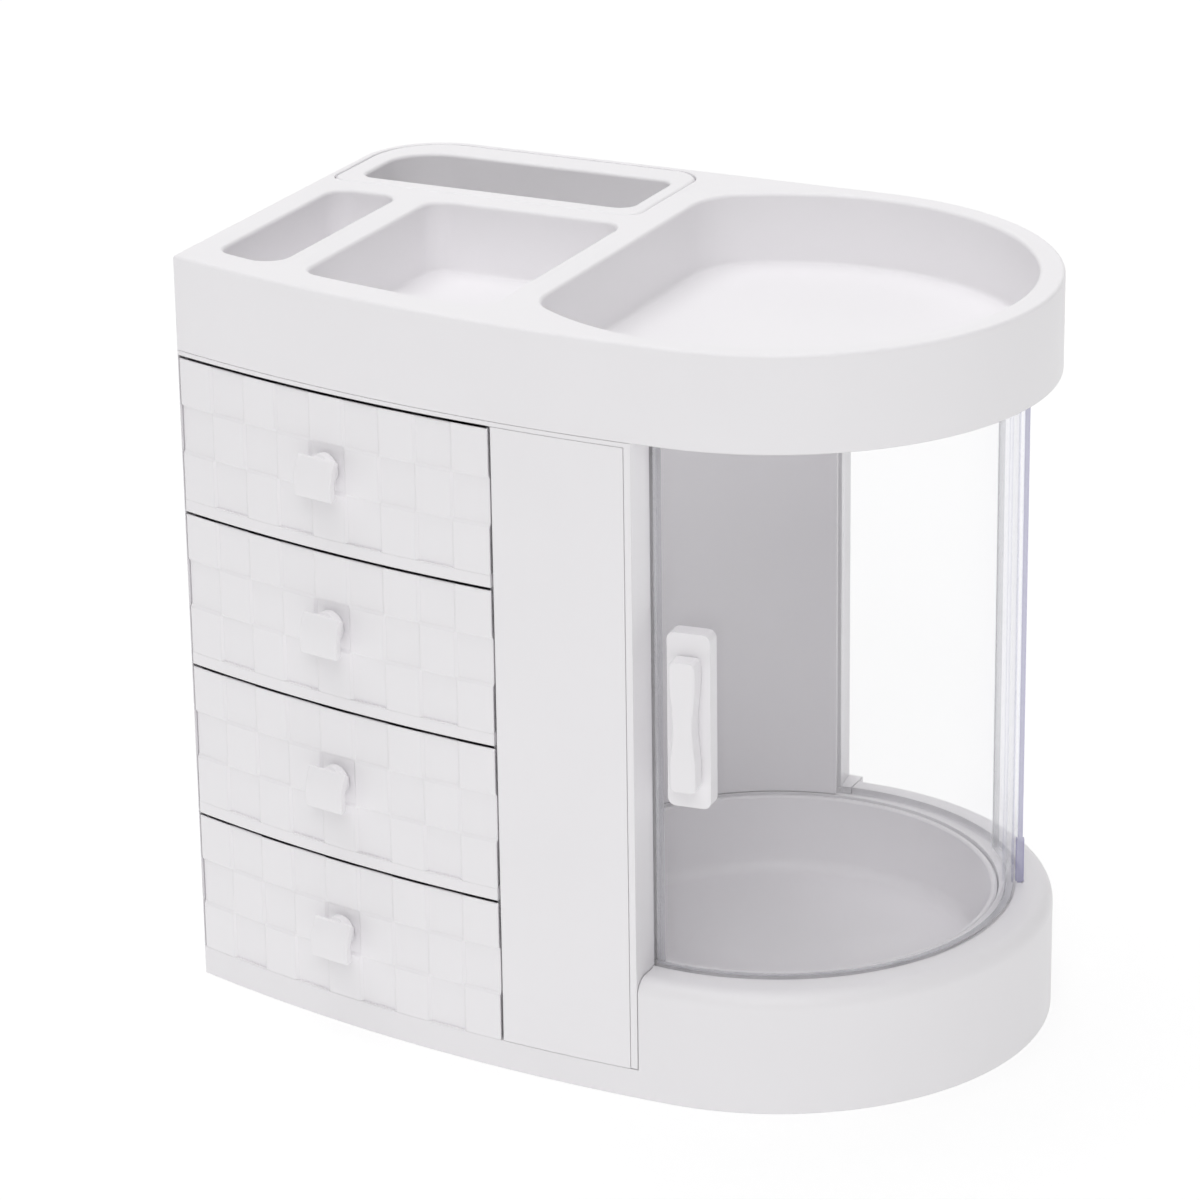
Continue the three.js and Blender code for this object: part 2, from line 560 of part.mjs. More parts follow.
function buildCabinet() {
  const bottom = SKIRT_TOP + SEAT_GAP;
  const below = bottom - CUT_OVERRUN;
  const above = CABINET_TOP + CUT_OVERRUN;
  const far = BODY_LEFT * 2;
  const closedSide = block(-far, -OPENING_EDGE, -far, far, below, above);
  const bay = prism(
    drawerPlan(BAY_LEFT, BAY_RIGHT, -CUT_OVERRUN, BAY_BACK, HOUSING_OUTSIDE),
    below, PLATE_UNDERSIDE,
  );
  const rearBay = prism(roundedPath([
    [-BAY_LEFT, REAR_BAY_FRONT, 0],
    [0, REAR_BAY_FRONT, 0],
    [0, BACK - WALL, 0],
    [-BAY_LEFT, BACK - WALL, BACK_CORNER_RADIUS - WALL],
  ]), below, PLATE_UNDERSIDE);
  const panelVoid = prism([
    ...bowPoints(-PANEL_LEFT - WALL / 2 + SEAT_GAP, -OPENING_EDGE - WALL, -CUT_OVERRUN),
    new THREE.Vector2(-OPENING_EDGE - WALL, -LIP_RADIUS / 2),
    new THREE.Vector2(-PANEL_LEFT - WALL / 2 + SEAT_GAP, -LIP_RADIUS / 2),
  ], below, PLATE_UNDERSIDE);
  const hug = disc(HOUSING_OUTSIDE, below, above);
  const frontRebate = prism([
    ...bowPoints(-FRONT_LEFT - SEAT_GAP, -PANEL_LEFT - PANEL_GAP / 2, -CUT_OVERRUN),
    ...bowPoints(-FRONT_LEFT - SEAT_GAP, -PANEL_LEFT - PANEL_GAP / 2, BAY_FRONT_INSET).reverse(),
  ], below, PLATE_UNDERSIDE);
  const panelRebate = prism([
    ...bowPoints(-PANEL_LEFT - PANEL_GAP, 0, -CUT_OVERRUN),
    ...bowPoints(-PANEL_LEFT - PANEL_GAP, 0, PANEL_THICKNESS + SEAT_GAP).reverse(),
  ], below, PLATE_UNDERSIDE);

  let shell = prism(bodyOutline(0), bottom, CABINET_TOP).intersect(closedSide);
  shell = shell.subtract(bay.subtract(hug));
  const rearSide = block(-far, -REAR_POST_LEFT, -far, far, below, above);
  shell = shell.subtract(rearBay.subtract(hug).intersect(rearSide));
  shell = shell.subtract(panelVoid.subtract(hug));
  shell = shell.subtract(frontRebate).subtract(panelRebate);
  shell = shell.subtract(disc(HOUSING_RADIUS, below, above));

  const railBottom = RAIL_UNDERSIDE - RAIL_DEPTH;
  const doorStop = ring(
    DOOR_RADIUS + SLIDE_GAP, HOUSING_RADIUS + SEAT_GAP, LEDGE_TOP + SEAT_GAP, railBottom - SEAT_GAP,
  );
  const stopLeft = -OPENING_EDGE - DOOR_STOP_WIDTH;
  shell = shell.add(doorStop.intersect(block(stopLeft, -OPENING_EDGE, -far, 0, below, above)));
  shell = shell.subtract(paneSlot(LEDGE_TOP - GROOVE_DEPTH, RAIL_UNDERSIDE));
  shell = shell.subtract(arcBand(
    DOOR_RADIUS, END_RADIUS + CUT_OVERRUN, PANE_START_ANGLE, REAR_EDGE_ANGLE, LEDGE_TOP, railBottom,
  ));

  const underPlate = PLATE_UNDERSIDE - CUT_OVERRUN;
  shell = shell.subtract(prism(binCavity(BIN_LOWER_RIGHT, -BIN_WALL - SLIDE_GAP), underPlate, above));
  const rebateFront = BACK - BACK_PANEL_THICKNESS - SEAT_GAP;
  shell = shell.subtract(backPanelBlock(BACK_PANEL_REBATE + SEAT_GAP, rebateFront, BACK + CUT_OVERRUN));
  shell = shell.subtract(backPanelBlock(0, BACK - WALL * 2, BACK + CUT_OVERRUN));

  const runnerEnd = -Math.sqrt(HOUSING_OUTSIDE ** 2 - BAY_RIGHT ** 2);
  for (let n = 1; n < DRAWER_COUNT; n++) {
    const top = bayFloor(n) - BOX_WALL - SEAT_GAP;
    const low = top - RUNNER_HEIGHT;
    const leftStart = frontY(-BAY_LEFT, BAY_FRONT_INSET);
    const rightStart = frontY(-BAY_RIGHT, BAY_FRONT_INSET);
    const rearStart = BAY_BACK - SEAT_GAP - RUNNER_WIDTH;
    shell = shell
      .add(block(-BAY_LEFT - SEAT_GAP, -BAY_LEFT + RUNNER_WIDTH, leftStart, BAY_BACK, low, top))
      .add(block(-BAY_RIGHT - RUNNER_WIDTH, -BAY_RIGHT + SEAT_GAP, rightStart, runnerEnd, low, top))
      .add(block(-BAY_LEFT, -HOUSING_OUTSIDE, rearStart, BAY_BACK + SEAT_GAP, low, top));
  }
  baseScrewPlaces().forEach(([x, y]) => {
    const boss = disc(BOSS_RADIUS, bottom, bottom + BOSS_HEIGHT, x, y, PIN_STEPS);
    const hole = disc(SCREW_RADIUS + SEAT_GAP, below, bottom + BOSS_HEIGHT - WALL, x, y, PIN_STEPS);
    shell = shell.add(boss.subtract(disc(HOUSING_RADIUS, below, above))).subtract(hole);
  });
  trayScrewPlaces().forEach(([x, y]) => {
    shell = shell.subtract(disc(SCREW_RADIUS + SEAT_GAP, underPlate, above, x, y, PIN_STEPS));
  });
  return shell;
}

// Back panel's outline grown by a margin, between two depths
function backPanelBlock(grow, front, back) {
  return block(
    -BACK_PANEL_LEFT - grow, -BACK_PANEL_RIGHT + grow, front, back,
    SKIRT_TOP + BACK_PANEL_MARGIN - grow, PLATE_UNDERSIDE - BACK_PANEL_MARGIN + grow,
  );
}

function buildBackPanel() {
  return backPanelBlock(BACK_PANEL_REBATE, BACK - BACK_PANEL_THICKNESS, BACK);
}

// Shelf n carries drawer n; its front edge shows as a plain band
function buildShelf(n) {
  const top = bayFloor(n);
  const plate = prism(drawerPlan(
    BAY_LEFT - SEAT_GAP, BAY_RIGHT + SEAT_GAP, BAY_FRONT_INSET - SEAT_GAP,
    BAY_BACK - SEAT_GAP, HOUSING_OUTSIDE + SEAT_GAP,
  ), top - BOX_WALL, top);
  const band = prism([
    ...bowPoints(-FRONT_LEFT, -FRONT_RIGHT, SEAT_GAP / 2),
    ...bowPoints(-FRONT_LEFT, -FRONT_RIGHT, FRONT_BACKSIDE).reverse(),
  ], top - BAND_HEIGHT, top);
  const webLeft = -BAY_LEFT + SEAT_GAP + RUNNER_WIDTH;
  const webRight = -BAY_RIGHT - SEAT_GAP - RUNNER_WIDTH;
  const web = prism([
    ...bowPoints(webLeft, webRight, FRONT_PLATE),
    ...bowPoints(webLeft, webRight, BAY_FRONT_INSET).reverse(),
  ], top - BOX_WALL, top);
  return plate.add(band).add(web);
}

function buildFrontPanel() {
  return prism([
    ...bowPoints(-PANEL_LEFT, -PANEL_RIGHT, 0),
    ...bowPoints(-PANEL_LEFT, -PANEL_RIGHT, PANEL_THICKNESS).reverse(),
  ], SKIRT_TOP + SLIDE_GAP, PLATE_UNDERSIDE - SLIDE_GAP);
}

// Round compartment

function buildInnerWall() {
  return arcBand(
    LIP_RADIUS, LIP_OUTSIDE - SEAT_GAP, INNER_WALL_START_ANGLE, INNER_WALL_END_ANGLE,
    LEDGE_TOP + SEAT_GAP, RAIL_UNDERSIDE - RAIL_DEPTH - SEAT_GAP,
  );
}

// Room for the pane, open towards the door's groove
function paneSlot(bottom, top) {
  return arcBand(
    DOOR_RADIUS, PANE_RADIUS + SEAT_GAP, PANE_START_ANGLE - SEAT_GAP, PANE_END_ANGLE + SEAT_GAP,
    bottom, top,
  );
}

function buildRearPane() {
  const inner = PANE_RADIUS - PANE_WALL;
  const bottom = LEDGE_TOP - GROOVE_DEPTH + SEAT_GAP;
  const top = RAIL_UNDERSIDE - SEAT_GAP;
  const pane = arcBand(inner, PANE_RADIUS, PANE_START_ANGLE, PANE_END_ANGLE, bottom, top);
  const footEnd = PANE_START_ANGLE + THREE.MathUtils.radToDeg(PANE_FOOT_WIDTH / PANE_RADIUS);
  const foot = arcBand(
    inner - PANE_FOOT_PROUD, PANE_RADIUS + PANE_FOOT_PROUD, PANE_START_ANGLE, footEnd,
    LEDGE_TOP + SEAT_GAP, LEDGE_TOP + PANE_FOOT_HEIGHT,
  );
  return pane.add(foot);
}

// Rail over the round compartment: rings under a plate guide the door and the pane
function buildUpperRail() {
  const bottom = RAIL_UNDERSIDE - RAIL_DEPTH;
  const below = bottom - CUT_OVERRUN;
  const far = BODY_LEFT * 2;
  const openSide = block(-OPENING_EDGE + SEAT_GAP, far, -far, far, below, TOTAL_HEIGHT);
  const wide = arcBand(
    LIP_RADIUS, RAIL_RADIUS, PANE_START_ANGLE - PANE_HOLD_ANGLE, PANE_END_ANGLE + PANE_HOLD_ANGLE,
    bottom, CABINET_TOP,
  );
  return disc(DISC_RADIUS, bottom, CABINET_TOP).add(wide.intersect(openSide))
    .subtract(disc(LIP_RADIUS, below, RAIL_UNDERSIDE))
    .subtract(ring(LIP_OUTSIDE, DOOR_RADIUS + DOOR_GAP, below, RAIL_UNDERSIDE))
    .subtract(paneSlot(below, RAIL_UNDERSIDE));
}

function buildDoor() {
  const inner = DOOR_RADIUS - DOOR_WALL;
  return arcBand(inner, DOOR_RADIUS, DOOR_START_ANGLE, DOOR_END_ANGLE, DOOR_BOTTOM, DOOR_TOP);
}

// Small foot under the door that runs in the groove
function buildDoorGuide(angle) {
  const sweep = THREE.MathUtils.radToDeg(GUIDE_LENGTH / DOOR_RADIUS) / 2;
  return arcBand(
    DOOR_RADIUS - DOOR_WALL, DOOR_RADIUS, angle - sweep, angle + sweep,
    LEDGE_TOP - GROOVE_DEPTH + SLIDE_GAP, DOOR_BOTTOM - SEAT_GAP,
  );
}

// The handle's pieces are drawn flat and stood up on the door, facing outwards
function onDoor(shape, inner, thickness) {
  const geometry = new THREE.ExtrudeGeometry(shape, { depth: thickness, bevelEnabled: false });
  geometry.rotateX(Math.PI / 2);
  geometry.translate(0, -inner, HANDLE_MIDDLE);
  geometry.rotateZ(radians(HANDLE_ANGLE) + Math.PI / 2);
  return solid(geometry);
}

function buildHandlePlate() {
  const x = HANDLE_WIDTH / 2;
  const z = HANDLE_HEIGHT / 2;
  const shape = new THREE.Shape(roundedPath([
    [-x, -z, HANDLE_CORNER], [x, -z, HANDLE_CORNER], [x, z, HANDLE_CORNER], [-x, z, HANDLE_CORNER],
  ]));
  return onDoor(shape, DOOR_RADIUS + SLIDE_GAP, HANDLE_THICKNESS);
}

function buildGrip() {
  const x = GRIP_WIDTH / 2;
  const waist = GRIP_WAIST / 2;
  const z = GRIP_HEIGHT / 2;
  const shoulder = z * GRIP_SHOULDER_SHARE;
  const end = x * GRIP_END_SHARE;
  const shape = new THREE.Shape();
  shape.moveTo(-end, -z);
  shape.lineTo(end, -z);
  shape.quadraticCurveTo(x, -z, x, -shoulder);
  shape.bezierCurveTo(x, -shoulder / 2, waist, -shoulder / 2, waist, 0);
  shape.bezierCurveTo(waist, shoulder / 2, x, shoulder / 2, x, shoulder);
  shape.quadraticCurveTo(x, z, end, z);
  shape.lineTo(-end, z);
  shape.quadraticCurveTo(-x, z, -x, shoulder);
  shape.bezierCurveTo(-x, shoulder / 2, -waist, shoulder / 2, -waist, 0);
  shape.bezierCurveTo(-waist, -shoulder / 2, -x, -shoulder / 2, -x, -shoulder);
  shape.quadraticCurveTo(-x, -z, -end, -z);
  const coarse = new THREE.Shape(shape.getPoints(CORNER_STEPS).slice(0, -1));
  return onDoor(coarse, DOOR_RADIUS + SLIDE_GAP + HANDLE_THICKNESS + SEAT_GAP, GRIP_THICKNESS);
}

function buildBowl() {
  const outer = LIP_RADIUS - BOWL_GAP;
  const inner = outer - BOWL_WALL;
  const underside = BOWL_FLOOR - BOWL_WALL;
  const top = LEDGE_TOP - BOWL_GAP;
  const socket = SPINDLE_RADIUS + SLIDE_GAP;
  return lathe([
    [0, underside], [socket, underside], [socket, WELL_FLOOR + 2 * SLIDE_GAP],
    [HUB_RADIUS, WELL_FLOOR + 2 * SLIDE_GAP], [HUB_RADIUS, underside],
    [outer, underside], [outer, top], [inner, top],
    [inner, BOWL_FLOOR + FLOOR_ROUND], [inner - FLOOR_ROUND, BOWL_FLOOR], [0, BOWL_FLOOR],
  ]);
}

function buildSpindle() {
  const top = BOWL_FLOOR - BOWL_WALL - SEAT_GAP;
  return disc(SPINDLE_RADIUS, WELL_FLOOR + SEAT_GAP, top, 0, 0, PIN_STEPS);
}

// Top tray and brush bin

function pocketCutter(outline, floor) {
  return loft([
    { points: outline(FLOOR_ROUND), z: floor },
    { points: outline(0), z: floor + FLOOR_ROUND },
    ...roundedTop(TOTAL_HEIGHT, RIM_ROUND, 2).map(({ inset, z }) => ({ points: outline(-inset), z })),
    { points: outline(-RIM_ROUND), z: TOTAL_HEIGHT + CUT_OVERRUN },
  ]);
}

function roundedBlock(outline, bottom) {
  return loft([
    { points: outline(0), z: bottom },
    ...roundedTop(TOTAL_HEIGHT, RIM_ROUND, 2).map(({ inset, z }) => ({ points: outline(inset), z })),
  ]);
}

function trayScrewPlaces() {
  return [
    [-TRAY_SCREW_X, TRAY_SCREW_Y],
    [-TRAY_SCREW_X + SCREW_INSET, frontY(-TRAY_SCREW_X, POCKET_FRONT_INSET * 2)],
    [-BAY_RIGHT - SCREW_INSET * 2, frontY(-BAY_RIGHT, POCKET_FRONT_INSET * 2)],
  ];
}

function buildTray() {
  const below = TRAY_BOTTOM - CUT_OVERRUN;
  const above = TOTAL_HEIGHT + CUT_OVERRUN;
  const pockets = [
    (inset) => bowedPocket(NARROW_LEFT, NARROW_RIGHT, inset),
    (inset) => bowedPocket(MIDDLE_LEFT, MIDDLE_RIGHT, inset),
    roundPocket,
  ];
  const underside = TRAY_FLOOR - TRAY_WALL;
  let hollow = prism(bodyOutline(TRAY_WALL), below, TOTAL_HEIGHT - TRAY_WALL);
  pockets.forEach((outline) => {
    hollow = hollow.subtract(prism(outline(-TRAY_WALL), underside, above));
  });
  hollow = hollow.subtract(prism(binOutline(-SEAT_GAP - TRAY_WALL), below, above));
  hollow = hollow.add(prism(binOutline(-SEAT_GAP), below, above));
  let tray = roundedBlock(bodyOutline, TRAY_BOTTOM).subtract(hollow);
  pockets.forEach((outline) => {
    tray = tray.subtract(pocketCutter(outline, TRAY_FLOOR));
  });
  trayScrewPlaces().forEach(([x, y]) => {
    tray = tray.add(disc(BOSS_RADIUS, TRAY_BOTTOM, underside, x, y, PIN_STEPS));
    tray = tray.subtract(disc(SCREW_RADIUS + SEAT_GAP, below, underside, x, y, PIN_STEPS));
  });
  return tray;
}

function buildBin() {
  const below = TRAY_BOTTOM - CUT_OVERRUN;
  const rimRight = BIN_RIGHT + BIN_RIM_RIGHT;
  const upper = (inset) => binCavity(rimRight, inset);
  const lower = (inset) => binCavity(BIN_LOWER_RIGHT, inset);
  const floor = TOTAL_HEIGHT - BIN_DEPTH;
  const shoulder = TOTAL_HEIGHT - BIN_SHOULDER + BIN_WALL;
  const lowerBlock = prism(lower(-BIN_WALL), floor - BIN_WALL, shoulder + BIN_WALL);
  const upperBlock = prism(upper(-BIN_WALL), TRAY_BOTTOM, TOTAL_HEIGHT);
  const underRim = prism(binOutline(BIN_WALL), below, TOTAL_HEIGHT - BIN_WALL);
  const hollow = underRim.subtract(upperBlock).subtract(lowerBlock);
  let bin = roundedBlock(binOutline, TRAY_BOTTOM).subtract(hollow).add(lowerBlock);
  bin = bin.subtract(pocketCutter(upper, shoulder));
  bin = bin.subtract(prism(lower(0), floor, shoulder + FLOOR_ROUND));
  return bin;
}

// Drawers

function buildDrawerBox(n) {
  const bottom = bayFloor(n) + SLIDE_GAP;
  const plan = (inset) => drawerPlan(
    BAY_LEFT - SLIDE_GAP - inset, BAY_RIGHT + SLIDE_GAP + inset, FRONT_BACKSIDE + SEAT_GAP + inset,
    DRAWER_BACK - inset, HOUSING_OUTSIDE + SLIDE_GAP + inset,
  );
  const outer = prism(plan(0), bottom, bottom + BOX_HEIGHT);
  return outer.subtract(prism(plan(BOX_WALL), bottom + BOX_WALL, bottom + BOX_HEIGHT + CUT_OVERRUN));
}

// Front plate with every second square of the checker raised
function buildDrawerFront(n) {
  const bottom = bayFloor(n) + SLIDE_GAP;
  const columnWidth = (FRONT_LEFT - FRONT_RIGHT) / COLUMN_COUNT;
  const rowHeight = FRONT_HEIGHT / ROW_COUNT;
  let front = prism([
    ...bowPoints(-FRONT_LEFT, -FRONT_RIGHT, SQUARE_RELIEF),
    ...bowPoints(-FRONT_LEFT, -FRONT_RIGHT, FRONT_BACKSIDE).reverse(),
  ], bottom, bottom + FRONT_HEIGHT);
  for (let row = 0; row < ROW_COUNT; row++) {
    for (let column = row % 2; column < COLUMN_COUNT; column += 2) {
      const left = -FRONT_LEFT + column * columnWidth + SQUARE_MARGIN;
      const right = left + columnWidth - 2 * SQUARE_MARGIN;
      const low = bottom + (ROW_COUNT - 1 - row) * rowHeight + SQUARE_MARGIN;
      const high = low + rowHeight - 2 * SQUARE_MARGIN;
      const sunk = SQUARE_RELIEF + SEAT_GAP;
      front = front.add(prism([
        new THREE.Vector2(left, frontY(left, 0)),
        new THREE.Vector2(right, frontY(right, 0)),
        new THREE.Vector2(right, frontY(right, sunk)),
        new THREE.Vector2(left, frontY(left, sunk)),
      ], low, high));
    }
  }
  return front;
}

// Knob: a curved tab on a round stem, square to the bowed front
function buildKnob(n) {
  const x = -(FRONT_LEFT + FRONT_RIGHT) / 2;
  const y = frontY(x, SQUARE_RELIEF - SEAT_GAP);
  const z = bayFloor(n) + SLIDE_GAP + FRONT_HEIGHT / 2;
  const turn = Math.atan2(y - bowCentre.y, x - bowCentre.x) + Math.PI / 2;
  const sweep = KNOB_HEIGHT / KNOB_BOW_RADIUS;
  const low = -sweep * (1 - KNOB_UPPER_SHARE);
  const high = sweep * KNOB_UPPER_SHARE;
  const inside = KNOB_BOW_RADIUS - KNOB_THICKNESS;
  const shape = new THREE.Shape([
    ...arcPoints(0, 0, KNOB_BOW_RADIUS, low, high, CORNER_STEPS),
    ...arcPoints(0, 0, inside, high, low, CORNER_STEPS),
  ]);
  const out = KNOB_STAND_OFF + KNOB_THICKNESS / 2 - KNOB_BOW_RADIUS;
  const drop = KNOB_BOW_RADIUS * (high + low) / 2 + KNOB_DROP;
  const tab = new THREE.ExtrudeGeometry(shape, { depth: KNOB_WIDTH, bevelEnabled: false });
  tab.translate(out, -drop, -KNOB_WIDTH / 2);
  const reach = KNOB_BOW_RADIUS - KNOB_THICKNESS / 2;
  const behindTab = new THREE.CylinderGeometry(reach, reach, KNOB_WIDTH, RING_STEPS);
  behindTab.rotateX(Math.PI / 2);
  behindTab.translate(out, -drop, 0);
  [tab, behindTab].forEach((geometry) => geometry.rotateX(Math.PI / 2).rotateZ(-Math.PI / 2));
  const round = KNOB_STEM_RADIUS;
  const stem = new THREE.CylinderGeometry(round, round, KNOB_STAND_OFF, PIN_STEPS);
  stem.translate(0, -KNOB_STAND_OFF / 2, 0);
  const knob = solid(stem).intersect(solid(behindTab)).add(solid(tab));
  return knob.rotate([0, 0, THREE.MathUtils.radToDeg(turn)]).translate([x, y, z]);
}

// Scene graph

const gloss = (color) => new THREE.MeshStandardMaterial({ color, roughness: 0.32, metalness: 0 });
const white = gloss(0xf2f0f3);
const satinWhite = new THREE.MeshStandardMaterial({ color: 0xeeecf0, roughness: 0.45, metalness: 0 });
const clear = new THREE.MeshStandardMaterial({
  color: 0xf0f0fa, roughness: 0.08, metalness: 0, transparent: true, opacity: 0.3,
});
const rubber = new THREE.MeshStandardMaterial({ color: 0xc9c9cc, roughness: 0.9, metalness: 0 });
const steel = new THREE.MeshStandardMaterial({ color: 0x9a9ca0, roughness: 0.35, metalness: 1 });

const organizer = new THREE.Group();

function place(name, body, material) {
  const geometry = geometryOf(body);
  geometry.translate(AXIS_X, 0, 0);
  const mesh = new THREE.Mesh(geometry, material.clone());
  mesh.name = name;
  organizer.add(mesh);
}

place('base', buildBase(), white);
footPlaces().forEach((spot, i) => place(`foot_${i + 1}`, buildFoot(spot), rubber));
baseScrewPlaces().forEach((spot, i) => {
  const headTop = SKIRT_TOP - WALL - SEAT_GAP;
  place(`base_screw_${i + 1}`, buildScrew(spot, headTop, headTop + SCREW_LENGTH), steel);
});
place('cabinet_shell', buildCabinet(), white);
place('back_panel', buildBackPanel(), white);
place('front_panel', buildFrontPanel(), white);
for (let n = 1; n < DRAWER_COUNT; n++) {
  place(`shelf_${n}`, buildShelf(n), white);
}
place('inner_wall', buildInnerWall(), satinWhite);
place('rear_pane', buildRearPane(), clear);
place('upper_rail', buildUpperRail(), white);
place('clear_door', buildDoor(), clear);
GUIDE_ANGLES.forEach((angle, i) => place(`door_guide_${i + 1}`, buildDoorGuide(angle), clear));
place('door_handle_plate', buildHandlePlate(), white);
place('door_grip', buildGrip(), white);
place('turntable_bowl', buildBowl(), satinWhite);
place('turntable_spindle', buildSpindle(), steel);
place('top_tray', buildTray(), white);
trayScrewPlaces().forEach((spot, i) => {
  const tip = TRAY_FLOOR - TRAY_WALL - SEAT_GAP;
  place(`tray_screw_${i + 1}`, buildScrew(spot, PLATE_UNDERSIDE - SEAT_GAP, tip), steel);
});
place('brush_bin', buildBin(), white);
for (let n = 1; n <= DRAWER_COUNT; n++) {
  place(`drawer_${n}_box`, buildDrawerBox(n), satinWhite);
  place(`drawer_${n}_front`, buildDrawerFront(n), white);
  place(`drawer_${n}_knob`, buildKnob(n), white);
}

export default organizer;
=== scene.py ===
# Look of the makeup organizer: fine shapes over the CAD frame, procedural plastics,
# soft studio light and the photograph's viewing angle.

import bpy
import math
from mathutils import Matrix, Vector
from mathutils.geometry import tessellate_polygon


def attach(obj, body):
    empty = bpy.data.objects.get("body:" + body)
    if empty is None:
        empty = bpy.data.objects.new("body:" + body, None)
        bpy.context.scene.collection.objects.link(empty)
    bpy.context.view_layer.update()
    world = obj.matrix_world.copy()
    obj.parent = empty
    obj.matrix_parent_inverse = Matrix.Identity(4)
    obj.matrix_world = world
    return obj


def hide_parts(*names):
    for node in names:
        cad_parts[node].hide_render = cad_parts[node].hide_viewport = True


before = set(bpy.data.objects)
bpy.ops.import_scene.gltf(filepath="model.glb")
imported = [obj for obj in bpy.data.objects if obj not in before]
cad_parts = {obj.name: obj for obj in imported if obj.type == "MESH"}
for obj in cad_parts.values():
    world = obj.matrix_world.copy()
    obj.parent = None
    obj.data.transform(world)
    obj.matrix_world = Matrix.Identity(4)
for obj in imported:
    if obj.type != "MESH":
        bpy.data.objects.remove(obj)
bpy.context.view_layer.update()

# Lengths are in mm. x and y start at the round end's axis and z at the table. The LEFT and
# RIGHT sizes of a piece are distances to the left of that axis, and angles turn round it
# from +x. An inset is a distance inwards from an outline.
MM = 0.001
AXIS_X = 42.75            # from the frame's origin to the round end's axis

# Clearances and cutters
SEAT, SLIDE = 0.3, 0.4
SEAM = 0.12               # closed joint between two mouldings
DOOR_GAP = 0.5            # between the door and its groove's outer side
DOOR_LIFT = 0.8           # between the door's edges and the base or the rail
OVERRUN = 5.0             # of a cutter past the face that it cuts
FAR = 400.0               # reach of a cutter on its open sides

# Mesh steps
BOW_STEPS, END_STEPS, CORNER_STEPS, SHARP_STEPS, POCKET_STEPS = 40, 90, 22, 6, 10
BAND_STEPS = 48           # along the bow for panels and bands
ROUND_STEPS = 144         # for a full circle
ARC_STEP = 2.5            # degrees, for part of a circle
ROUNDING_STEPS = 6

# Plan
END, LEFT, BACK = 85.0, 170.5, 85.0
BOW = 535.0               # radius of the bowed front
BOW_X = -13.0
BOW_Y = math.sqrt((BOW - END) ** 2 - BOW_X ** 2)
CORNER = 26.0             # back left corner
SHARP, LEAST_SHARP = 1.4, 0.25                     # front left corner, and at a large inset
WALL, TRAY_WALL = 2.2, 2.4                         # thicknesses

# Heights
DRAWERS = 4
SKIRT_TOP, LEDGE_TOP, FOOT_PROUD = 9.8, 39.0, 0.6
FRONT_HEIGHT, BAND, DRAWER_GAP = 44.6, 3.9, 1.0
PITCH = SLIDE + FRONT_HEIGHT + DRAWER_GAP + BAND
PLATE_UNDER = SKIRT_TOP + DRAWERS * PITCH - BAND
CAB_TOP = PLATE_UNDER + 1.4
TRAY_BOTTOM = CAB_TOP + SEAT
TOP = TRAY_BOTTOM + 29.4
TRAY_FLOOR = TOP - 22.6
RAIL_UNDER = CAB_TOP - 1.5
RAIL_LOW = RAIL_UNDER - 2.0

# Front: drawers, filler panel, bands of the shelves and the round compartment's opening
FRONT_LEFT, FRONT_RIGHT = 169.4, 54.0
PANEL_LEFT, PANEL_RIGHT, PANEL_THICK = 53.0, 9.9, 2.5
OPENING_EDGE = 7.5
FRONT_THICK, RELIEF = 3.4, 0.9
BAND_INSET = 0.03         # shelf's front band behind the bow

# Drawers and the bay that holds them
BAY_LEFT, BAY_RIGHT, BAY_BACK = 168.3, 56.2, 29
SHELF_LEFT, SHELF_RIGHT, SHELF_BACK = 168, 56.5, 28.7
SHELF_FRONT, SHELF_THICK = FRONT_THICK + 0.1, 1.8
WEB_LEFT, WEB_RIGHT = 166.4, 58.1                  # the web joins a shelf to its band
WEB_FRONT, WEB_BACK = 2.5, FRONT_THICK + 1
BOX_LEFT, BOX_RIGHT, BOX_BACK = 167.9, 56.6, 27.5
BOX_WALL, BOX_HEIGHT, BOX_OPEN = 1.8, 38, 45

# Round compartment: radii, and the angles of its curved pieces
LIP, LIP_OUT = 68.4, 70.2
DOOR_OUT, DOOR_IN = 72.9, 70.7
DOOR_FROM, DOOR_TO = -95.2, 42
HOUSING, HOUSING_OUT = 75.2, 77.5
PANE_OUT, PANE_IN = 75.5, 73.9
PANE_FROM, PANE_TO = 22.0, 97.5
INNER_WALL_FROM, INNER_WALL_TO = 98, 263.5
REAR_EDGE_TO = 98.2
RAIL_WIDE, RAIL_SPARE_ANGLE = 79.5, 5              # the rail is wider over the pane
GROOVE = 2                # depth of the door's and the pane's grooves
STOP_WIDTH = 3            # of the strip that the shut door meets


def rad(degrees):
    return math.radians(degrees)


def floor_of(n):
    """Height of the surface that drawer n slides on."""
    return SKIRT_TOP + (DRAWERS - n) * PITCH


def front_y(x, inset):
    """y of the bowed front at x."""
    return BOW_Y - math.sqrt((BOW - inset) ** 2 - (x - BOW_X) ** 2)


# Plan outlines, anticlockwise from the left

POCKET_FRONT, POCKET_BACK, POCKET_CORNER = 12.6, 22.0, 7.0
ROUND_RIM, ROUND_LEFT = 7.7, 50.0
ROUND_FRONT_CORNER, ROUND_BACK_CORNER = 15.0, 20.0
BIN_RECT, BIN_RADII = (-167.5, -61, 31, 82), (5, 5, 10, 23)
BIN_INNER_LEFT, BIN_INNER_FRONT, BIN_INNER_BACK = 160.1, 37.4, 70.8
BIN_INNER_RADII = (5, 5, 5, 15.6)
BIN_UPPER_RIGHT, BIN_LOWER_RIGHT = 66.5, 74.5


def arc(cx, cy, r, a0, a1, n):
    return [(cx + r * math.cos(a0 + (a1 - a0) * i / n), cy + r * math.sin(a0 + (a1 - a0) * i / n))
            for i in range(n + 1)]


